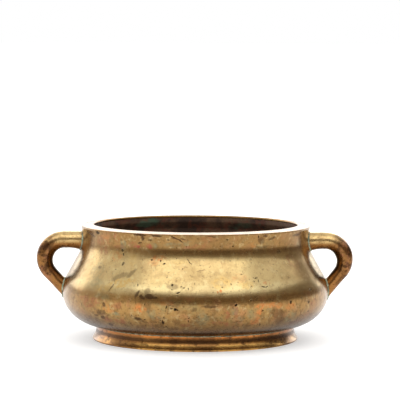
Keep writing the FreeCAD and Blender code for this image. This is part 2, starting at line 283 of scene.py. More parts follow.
def ragged_place(tree: Tree, place: Socket, size: float, reach: float) -> Socket:
    """The place shifted to and fro, so that what is drawn with it gets ragged edges.

    Args:
        tree: the material's tree.
        place: the true place.
        size: length of the waves in mm.
        reach: how far they shift it, in mm.

    Returns:
        The shifted place.
    """
    feeds = {"Vector": place, "Scale": 1 / (size * MM), "Detail": 3.0}
    wave = add_node(tree, "ShaderNodeTexNoise", feeds).outputs["Color"]
    push = add_node(tree, "ShaderNodeVectorMath", {0: wave, 1: (0.5, 0.5, 0.5)}, operation="SUBTRACT")
    feeds = {0: push.outputs[0], 1: (2 * reach * MM,) * 3, 2: place}
    return add_node(tree, "ShaderNodeVectorMath", feeds, operation="MULTIPLY_ADD").outputs[0]


def mottle(
    tree: Tree,
    place: Socket,
    size: float,
    low: float,
    high: float,
    detail: float = 4.0,
    squeeze: tuple[float, float, float] = (1.0, 1.0, 1.0),
    shift: float = 0.0,
) -> Socket:
    """A mask of irregular patches, 0 where the noise is at low and 1 at high.

    Args:
        tree: the material's tree.
        place: the place on the piece.
        size: how large the patches are in mm.
        low: noise value where the mask starts.
        high: noise value where it is full.
        detail: how many finer steps the patches have.
        squeeze: how much closer together they lie along each axis.
        shift: moves to another part of the noise, in m.

    Returns:
        The mask.
    """
    feeds = {"Vector": place, "Scale": squeeze, "Location": (shift, shift, shift)}
    moved = add_node(tree, "ShaderNodeMapping", feeds).outputs[0]
    feeds = {"Vector": moved, "Scale": 1 / (size * MM), "Detail": detail, "Roughness": 0.6}
    grain = add_node(tree, "ShaderNodeTexNoise", feeds).outputs["Fac"]
    feeds = {"Value": grain, "From Min": low, "From Max": high}
    return add_node(tree, "ShaderNodeMapRange", feeds, **SMOOTH).outputs[0]


def pocks(tree: Tree, place: Socket, size: float, width: float, share: float) -> Socket:
    """A mask of scattered round pits.

    Args:
        tree: the material's tree.
        place: the place on the piece.
        size: mean distance between pits in mm.
        width: a pit's radius as a part of that distance.
        share: the part of the cells that have a pit.

    Returns:
        The mask, 1 in the middle of a pit.
    """
    cell = add_node(tree, "ShaderNodeTexVoronoi", {"Vector": place, "Scale": 1 / (size * MM)})
    feeds = {"Value": cell.outputs["Distance"], "From Min": width, "From Max": width * 0.3}
    dot = add_node(tree, "ShaderNodeMapRange", feeds, **SMOOTH).outputs[0]
    feeds = {0: cell.outputs["Color"], 1: 1.0 - share}
    drawn = add_node(tree, "ShaderNodeMath", feeds, operation="GREATER_THAN").outputs[0]
    return add_node(tree, "ShaderNodeMath", {0: dot, 1: drawn}, operation="MULTIPLY").outputs[0]


def level_band(tree: Tree, place: Socket, start: float, end: float, axis: str = "Z") -> Socket:
    """A mask that rises from 0 at one coordinate in mm to 1 at another.

    Args:
        tree: the material's tree.
        place: the place on the piece.
        start: coordinate in mm where it is 0.
        end: coordinate where it is 1.
        axis: the coordinate that counts.

    Returns:
        The mask.
    """
    split = add_node(tree, "ShaderNodeSeparateXYZ", {0: place})
    feeds = {"Value": split.outputs[axis], "From Min": start * MM, "From Max": end * MM}
    return add_node(tree, "ShaderNodeMapRange", feeds, **SMOOTH).outputs[0]


def product(tree: Tree, *masks: Socket | float) -> Socket:
    """The masks times one another."""
    whole = masks[0]
    for mask in masks[1:]:
        whole = add_node(tree, "ShaderNodeMath", {0: whole, 1: mask}, operation="MULTIPLY").outputs[0]
    return whole


def weighted_sum(tree: Tree, start: float, weights: Sequence[Weight]) -> Socket | float:
    """A number plus each mask times its weight.

    Args:
        tree: the material's tree.
        start: the number.
        weights: masks with their weights.

    Returns:
        The sum, which is the number itself where there are no masks.
    """
    whole: Any = start
    for mask, weight in weights:
        feeds = {0: mask, 1: weight, 2: whole}
        whole = add_node(tree, "ShaderNodeMath", feeds, operation="MULTIPLY_ADD").outputs[0]
    return whole


def colour_layers(tree: Tree, ground: str, layers: Sequence[Layer]) -> Socket:
    """A ground colour with each layer's colour laid over it by its mask times its share.

    Args:
        tree: the material's tree.
        ground: the colour at the bottom.
        layers: mask, share and colour of each layer, from the ground up.

    Returns:
        The colour.
    """
    whole: Any = linear(ground)
    for mask, share, code in layers:
        feeds = {0: product(tree, mask, share), 6: whole, 7: linear(code)}
        whole = add_node(tree, "ShaderNodeMix", feeds, data_type="RGBA").outputs[2]
    return whole


# Marks


@dataclass(frozen=True)
class Mark:
    """One stain, pit or rubbed spot, as an oval on the piece.

    Args:
        bearing: degrees round from the front, more to the right.
        level: height above the base.
        across: half its width.
        tall: half its height.
        lean: degrees that it leans clockwise.
        strength: 1 for a full mark.
        soft: the part of its radius over which it fades.
    """

    bearing: float
    level: float
    across: float
    tall: float
    lean: float = 0.0
    strength: float = 1.0
    soft: float = 0.6


def marks_mask(tree: Tree, place: Socket, marks: Sequence[Mark], out_at: OutAt) -> Socket:
    """A mask that is 1 inside the marks.

    Args:
        tree: the material's tree.
        place: the place on the piece.
        marks: the marks.
        out_at: the surface's distance from the axis at a level.

    Returns:
        The mask.
    """
    whole: Any = 0.0
    for mark in marks:
        turn = math.radians(mark.bearing)
        out = out_at(mark.level)
        reach = 1.0 + mark.soft / 2
        oval = add_node(tree, "ShaderNodeTexGradient", {"Vector": place}, gradient_type="SPHERICAL")
        lie = oval.texture_mapping
        lie.vector_type = "TEXTURE"
        lie.translation = (out * math.sin(turn) * MM, -out * math.cos(turn) * MM, mark.level * MM)
        lie.rotation = (0.0, math.radians(mark.lean), turn)
        lie.scale = Vector((mark.across, max(mark.across, mark.tall, 2.0), mark.tall)) * reach * MM
        feeds = {"Value": oval.outputs["Fac"], "From Max": mark.soft / reach, "To Max": mark.strength}
        near = add_node(tree, "ShaderNodeMapRange", feeds, **SMOOTH).outputs[0]
        whole = add_node(tree, "ShaderNodeMath", {0: whole, 1: near}, operation="MAXIMUM").outputs[0]
    return whole


# Finishes


@dataclass(frozen=True)
class Finish:
    """A metal finish, as a ground with layers over it.

    Args:
        name: the material's name.
        ground: the colour under all the layers.
        roughness: how matt the bare ground is.
        metallic: 1 for bare metal, less where a crust covers it.
    """

    name: str
    ground: str
    roughness: float
    metallic: float = 1.0

    def laid(
        self,
        material: bpy.types.Material,
        layers: Sequence[Layer],
        dull: Sequence[Weight],
        relief: Sequence[Weight],
        bare: Sequence[Weight] = (),
    ) -> bpy.types.Material:
        """Ends a material's tree in the metal's surface.

        Args:
            material: the material, with the masks in its tree.
            layers: mask, share and colour of each layer, from the ground up.
            dull: masks that add to the roughness.
            relief: masks that raise the surface, in mm.
            bare: masks that add to the metallic part.

        Returns:
            The material.
        """
        tree = material.node_tree
        colour = colour_layers(tree, self.ground, layers)
        roughness = weighted_sum(tree, self.roughness, dull)
        height = weighted_sum(tree, 0.0, relief)
        metallic = weighted_sum(tree, self.metallic, bare)
        bump = add_node(tree, "ShaderNodeBump", {"Height": height, "Distance": MM, "Strength": 1.0})
        feeds = {"Base Color": colour, "Roughness": roughness, "Metallic": metallic}
        surface = add_node(tree, "ShaderNodeBsdfPrincipled", {**feeds, "Normal": bump.outputs[0]})
        add_node(tree, "ShaderNodeOutputMaterial", {"Surface": surface.outputs[0]})
        return material


@dataclass(frozen=True)
class RubbedCastBronze(Finish):
    """Cast bronze, turned and rubbed to a satin polish, with a brown film left in patches.

    The eye sees soft-edged reflections in a tan gold, with a painted highlight that turns it paler on the
    shoulder and crest, and painted shade at its sides and underside.
    """

    name: str = "rubbed_cast_bronze"
    ground: str = "#A8834F"
    # painted highlight: the paler colour of the shoulder
    pale: str = "#CDB47E"
    # painted highlight on the crest, and also the colour of the light mottling
    cream: str = "#DCC995"
    film: str = "#80603A"
    pink: str = "#B57F58"
    red: str = "#9A5A42"
    orange: str = "#C47F48"
    olive: str = "#8C8056"
    green: str = "#7F8468"
    gold: str = "#C9A25A"
    painted_underside_shade: str = "#4E3928"
    # the colour of real stains, also used as painted shade towards the underside
    stain: str = "#463021"
    pit: str = "#22160E"
    roughness: float = 0.19

    def build(self, marks: "BowlMarks", out_at: OutAt) -> bpy.types.Material:
        """The material with the bowl's own marks.

        Args:
            marks: the marks of the bowl.
            out_at: the surface's distance from the axis at a level.

        Returns:
            The material.
        """
        material, tree, place = new_tree(self.name)
        ragged = ragged_place(tree, ragged_place(tree, place, 6.0, 1.1), 1.8, 0.6)
        # painted highlight: shoulder and crest make the colour paler where the front panel's reflection
        # lies
        shoulder = product(tree, level_band(tree, place, 35, 41), level_band(tree, place, 63, 57))
        crest = product(tree, level_band(tree, ragged, 34, 38), level_band(tree, ragged, 45, 40))
        body = level_band(tree, place, 36, 31)
        neck = level_band(tree, place, 58, 62)
        # painted shade: low and base darken the colour towards the underside, where the floor's contact
        # shadow lies
        low = level_band(tree, ragged, 25, 13)
        base = level_band(tree, place, 15, 11)
        # painted shade: right and left darken the colour towards both sides, where the front panel's
        # reflection does not reach
        right = level_band(tree, ragged, 40, 66, "X")
        left = level_band(tree, ragged, -48, -68, "X")
        cloud = mottle(tree, place, 24, 0.42, 0.62)
        pinks = mottle(tree, place, 10, 0.50, 0.66, 5.0, shift=0.31)
        olives = mottle(tree, place, 9, 0.50, 0.66, 5.0, shift=0.73)
        film = mottle(tree, place, 4.5, 0.46, 0.66, 6.0, shift=0.17)
        flecks = mottle(tree, place, 1.7, 0.55, 0.72, 4.0, shift=0.91)
        light = mottle(tree, place, 3.4, 0.52, 0.70, 5.0, shift=1.37)
        grime = mottle(tree, place, 1.2, 0.57, 0.70, 3.0, shift=2.3)
        broken = mottle(tree, ragged, 2.8, 0.36, 0.60, 5.0, shift=1.9)
        rubbing = mottle(tree, place, 7, 0.35, 0.65, 4.0, squeeze=(1.0, 1.0, 16.0), shift=0.2)
        pits = pocks(tree, place, 5.0, 0.10, 0.30)
        specks = product(tree, pocks(tree, place, 2.3, 0.16, 0.26), level_band(tree, ragged, 48, 33))
        stains = marks_mask(tree, ragged, marks.stains, out_at)
        darks = marks_mask(tree, ragged, marks.pits, out_at)
        greens = marks_mask(tree, ragged, marks.greens, out_at)
        golds = marks_mask(tree, ragged, marks.golds, out_at)
        oranges = marks_mask(tree, ragged, marks.oranges, out_at)
        reds = marks_mask(tree, ragged, marks.reds, out_at)
        layers = [
            (olives, 0.55, self.olive),
            (pinks, 0.55, self.pink),
            # painted highlight: paler colour on the shoulder and the belly's crest
            (shoulder, 0.80, self.pale),
            (crest, 0.55, self.cream),
            (cloud, 0.30, self.film),
            (neck, 0.45, self.film),
            (product(tree, film, body), 0.75, self.film),
            (product(tree, film, neck), 0.40, self.film),
            (film, 0.22, self.film),
            (light, 0.30, self.cream),
            (product(tree, greens, broken), 1.0, self.green),
            (product(tree, golds, broken), 0.90, self.gold),
            (product(tree, oranges, broken), 1.15, self.orange),
            (product(tree, reds, broken), 1.1, self.red),
            # painted shade: film colour towards both sides
            (right, 0.32, self.film),
            (left, 0.42, self.film),
            # painted shade: darker towards the underside, more at the sides; base uses the stain colour as
            # that shade
            (low, 0.60, self.painted_underside_shade),
            (product(tree, low, right), 0.45, self.painted_underside_shade),
            (product(tree, low, left), 0.55, self.painted_underside_shade),
            (base, 0.70, self.stain),
            (flecks, 0.42, self.stain),
            (product(tree, grime, body), 0.70, self.stain),
            (product(tree, grime, neck), 0.35, self.stain),
            (stains, 1.0, self.stain),
            (specks, 0.8, self.pit),
            (pits, 0.7, self.pit),
            (darks, 1.0, self.pit),
        ]
        dull = [(film, 0.05), (flecks, 0.06), (rubbing, 0.03), (stains, 0.12), (darks, 0.25), (low, 0.05)]
        relief = [(pits, -0.09), (specks, -0.05), (darks, -0.10)]
        relief += [(rubbing, 0.003), (flecks, 0.005), (film, 0.004)]
        return self.laid(material, layers, dull, relief)


@dataclass(frozen=True)
class SootedBronze(Finish):
    """The unpolished inside of a casting, dark from age and use, with green and red corrosion.

    The eye sees a dull dark brown with hardly a reflection.
    """

    name: str = "sooted_cast_bronze"
    ground: str = "#785C44"
    dark: str = "#46352A"
    green: str = "#4A6A54"
    red: str = "#7A4632"
    ash: str = "#6E655A"
    dust_deep: float = 7.0
    roughness: float = 0.55
    metallic: float = 0.15

    def build(self, marks: "BowlMarks", out_at: OutAt, floor: float) -> bpy.types.Material:
        """The material, with ash dust where the inside's floor begins.

        Args:
            marks: the marks of the bowl.
            out_at: the surface's distance from the axis at a level.
            floor: level of the inside's floor.

        Returns:
            The material.
        """
        material, tree, place = new_tree(self.name)
        ragged = ragged_place(tree, place, 5.0, 1.6)
        cloud = mottle(tree, place, 15, 0.42, 0.62)
        rust = mottle(tree, place, 7, 0.50, 0.62, 5.0, shift=0.5)
        moss = mottle(tree, place, 12, 0.60, 0.70, 6.0, shift=1.4)
        grain = mottle(tree, place, 1.4, 0.3, 0.7, 3.0, shift=0.2)
        dust = mottle(tree, place, 8, 0.40, 0.60, 6.0)
        dust = product(tree, level_band(tree, ragged, floor + self.dust_deep, floor), dust)
        greens = marks_mask(tree, ragged, marks.inside_greens, out_at)
        layers = [
            (cloud, 1.0, self.dark),
            (rust, 0.7, self.red),
            (moss, 0.6, self.green),
            (greens, 0.85, self.green),
            (grain, 0.3, self.dark),
            (dust, 0.7, self.ash),
        ]
        dull = [(grain, 0.12), (dust, 0.2), (moss, 0.15)]
        relief = [(grain, 0.02), (rust, 0.02), (moss, 0.05), (greens, 0.05)]
        bare = [(dust, -0.15), (greens, -0.15), (moss, -0.1)]
        return self.laid(material, layers, dull, relief, bare)


@dataclass(frozen=True)
class PaintedLightFootBronze(Finish):
    """Cast bronze of a redder mix, with a painted highlight on its lower edge and painted shade in its
    hollow and at its sides.

    The eye sees an orange band at the joint, which is a painted reflection, a dark hollow and a gold lower
    edge.
    """

    name: str = "foot_bronze_painted_light"
    ground: str = "#C08A4C"
    # painted highlight on the rolled lower edge
    painted_edge_highlight: str = "#E6B565"
    # painted reflection: the orange band at the top of the foot
    orange: str = "#C8783C"
    # used for real grime and pits, and as painted shade in the hollow and at the right side
    stain: str = "#453024"
    # used for the mottled film, and as painted shade at the left side
    film: str = "#7C5434"
    roughness: float = 0.17

    def build(self, height: float) -> bpy.types.Material:
        """The material for a foot of that height.

        Args:
            height: height of the foot.

        Returns:
            The material.
        """
        material, tree, place = new_tree(self.name)
        ragged = ragged_place(tree, place, 4.0, 0.5)
        # painted shade: under and hollow darken the foot's hollow, where the bowl's underside is reflected
        # dark
        under = level_band(tree, ragged, height - 1.9, height - 2.9)
        hollow = product(tree, under, level_band(tree, ragged, height * 0.46, height * 0.56))
        # painted reflection: top is the orange band at the joint
        top = level_band(tree, ragged, height - 2.4, height - 1.4)
        # painted highlight: edge brightens the rolled lower edge
        edge = level_band(tree, place, height * 0.48, height * 0.34)
        # painted shade: right and left darken the foot's sides
        right = level_band(tree, place, 35, 48, "X")
        left = level_band(tree, place, -35, -48, "X")
        cloud = mottle(tree, place, 16, 0.42, 0.60, 5.0)
        grime = mottle(tree, place, 3, 0.50, 0.66, 5.0, shift=0.4)
        rubbing = mottle(tree, place, 6, 0.35, 0.65, 4.0, squeeze=(1.0, 1.0, 14.0))
        pits = pocks(tree, place, 4.5, 0.08, 0.3)
        layers = [
            # top, edge, right, left and hollow are painted reflection, highlight and shade; cloud, grime
            # and pits are the metal's own
            (top, 0.7, self.orange),
            (edge, 0.8, self.painted_edge_highlight),
            (cloud, 0.65, self.film),
            (right, 0.55, self.stain),
            (left, 0.65, self.film),
            (hollow, 0.7, self.stain),
            (grime, 0.55, self.stain),
            (pits, 0.8, self.stain),
        ]
        dull = [(grime, 0.10), (hollow, 0.10), (rubbing, 0.04)]
        relief = [(pits, -0.08), (rubbing, 0.004), (grime, 0.008)]
        return self.laid(material, layers, dull, relief)


@dataclass(frozen=True)
class HandledBronze(Finish):
    """Cast bronze rod, filed round, with pits and brown tarnish, and with painted light in its colour.

    The eye sees gold brown with a bright line along the top, which is a painted highlight, an orange band
    under it, which is a painted reflection, brown patches on the bend, and a rod painted nearly black with
    shade where it faces the space inside the loop.
    """

    name: str = "handled_bronze"
    ground: str = "#9A7343"
    # painted highlight: the bright line along the rod's top
    worn: str = "#DDBE84"
    # painted reflection: the orange band under the top line
    orange: str = "#96602F"
    film: str = "#7E5936"
    pink: str = "#9C6A4C"
    stain: str = "#432C1D"
    # painted shade where the rod faces the space inside the loop
    painted_shade: str = "#1F140D"
    shade_reach: tuple[float, float, float] = (12.8, 10.2, 11.0)
    shade_full: float = 0.22
    highlight_levels: Pair = (11.0, 14.5)
    reflection_levels: Pair = (12.5, 10.5)
    roughness: float = 0.20

    def build(self, root: float, bend: float, hollow: Vector) -> bpy.types.Material:
        """The material of a loop.

        Args:
            root: distance out of its roots, where it is dirty.
            bend: distance out of its bend, which is tarnished.
            hollow: middle of the space inside the loop, round which the painted shade lies and from which
                the levels of the painted highlight and painted reflection count.

        Returns:
            The material.
        """
        material, tree, place = new_tree(self.name)
        ragged = ragged_place(tree, place, 3.0, 0.7)
        # painted shade: dark grows towards the middle of the space inside the loop
        across = add_node(tree, "ShaderNodeVectorMath", {0: ragged}, operation="ABSOLUTE").outputs[0]
        shade = add_node(tree, "ShaderNodeTexGradient", {"Vector": across}, gradient_type="SPHERICAL")
        shade.texture_mapping.vector_type = "TEXTURE"
        shade.texture_mapping.translation = hollow * MM
        shade.texture_mapping.scale = Vector(self.shade_reach) * MM
        feeds = {"Value": shade.outputs["Fac"], "From Max": self.shade_full}
        dark = add_node(tree, "ShaderNodeMapRange", feeds, **SMOOTH).outputs[0]
        # painted highlight along the top (upper) and painted reflection under it (lower)
        upper = level_band(tree, ragged, *(hollow.z + level for level in self.highlight_levels))
        lower = level_band(tree, ragged, *(hollow.z + level for level in self.reflection_levels))
        rootward = level_band(tree, across, root + 2.5, root, "X")
        outward = level_band(tree, across, bend - 3, bend + 4, "X")
        cloud = mottle(tree, place, 8, 0.44, 0.64, 5.0)
        blush = mottle(tree, place, 5, 0.48, 0.62, 5.0, shift=1.1)
        tarnish = mottle(tree, place, 4, 0.44, 0.58, 6.0, shift=0.6)
        grime = mottle(tree, place, 1.6, 0.50, 0.68, 4.0, shift=0.9)
        pits = pocks(tree, place, 2.3, 0.15, 0.40)
        layers = [
            # upper, lower and dark are painted highlight, painted reflection and painted shade
            (upper, 0.85, self.worn),
            (lower, 0.5, self.orange),
            (cloud, 0.5, self.film),
            (outward, 0.45, self.film),
            (product(tree, blush, outward), 0.7, self.pink),
            (product(tree, tarnish, outward), 0.8, self.stain),
            (grime, 0.4, self.stain),
            (pits, 0.8, self.stain),
            (rootward, 0.5, self.film),
            (dark, 0.9, self.painted_shade),
        ]
        dull = [(cloud, 0.05), (tarnish, 0.08), (grime, 0.12), (rootward, 0.1)]
        relief = [(pits, -0.06), (grime, -0.012), (cloud, 0.012)]
        return self.laid(material, layers, dull, relief)


@dataclass(frozen=True)
class VerdigrisSolder(Finish):
    """Soft solder under a crust of green copper carbonate, matt and crumbly.

    The eye sees a thin pale green line with grey metal showing through.
    """

    name: str = "verdigris_solder"
    ground: str = "#93A58A"
    pale: str = "#CBD6BC"
    grey: str = "#6B6A60"
    brown: str = "#5A4632"
    roughness: float = 0.7
    metallic: float = 0.0

    def build(self) -> bpy.types.Material:
        """The material, the same all round.

        Returns:
            The material.
        """
        material, tree, place = new_tree(self.name)
        crust = mottle(tree, place, 2.2, 0.44, 0.60, 5.0)
        bare = mottle(tree, place, 5, 0.52, 0.62, 4.0, shift=0.8)
        crumb = mottle(tree, place, 0.5, 0.35, 0.65, 3.0, shift=0.1)
        dirt = mottle(tree, place, 3, 0.54, 0.66, 4.0, shift=1.6)
        layers = [
            (crust, 1.0, self.pale),
            (bare, 0.8, self.grey),
            (dirt, 0.7, self.brown),
        ]
        dull = [(crumb, 0.15), (bare, -0.2)]
        return self.laid(material, layers, dull, [(crumb, 0.05), (crust, 0.06)], [(bare, 0.7)])


# The censer


def ovals(*rows: tuple[float, ...]) -> tuple[Mark, ...]:
    """Marks from rows of numbers, in the order of Mark's own fields."""
    return tuple(Mark(*row) for row in rows)


@dataclass(frozen=True)
class BowlMarks:
    """The bowl's own stains, pits, rubbed spots and films of colour."""

    stains: tuple[Mark, ...] = ()
    pits: tuple[Mark, ...] = ()
    reds: tuple[Mark, ...] = ()
    oranges: tuple[Mark, ...] = ()
    greens: tuple[Mark, ...] = ()
    golds: tuple[Mark, ...] = ()
    inside_greens: tuple[Mark, ...] = ()


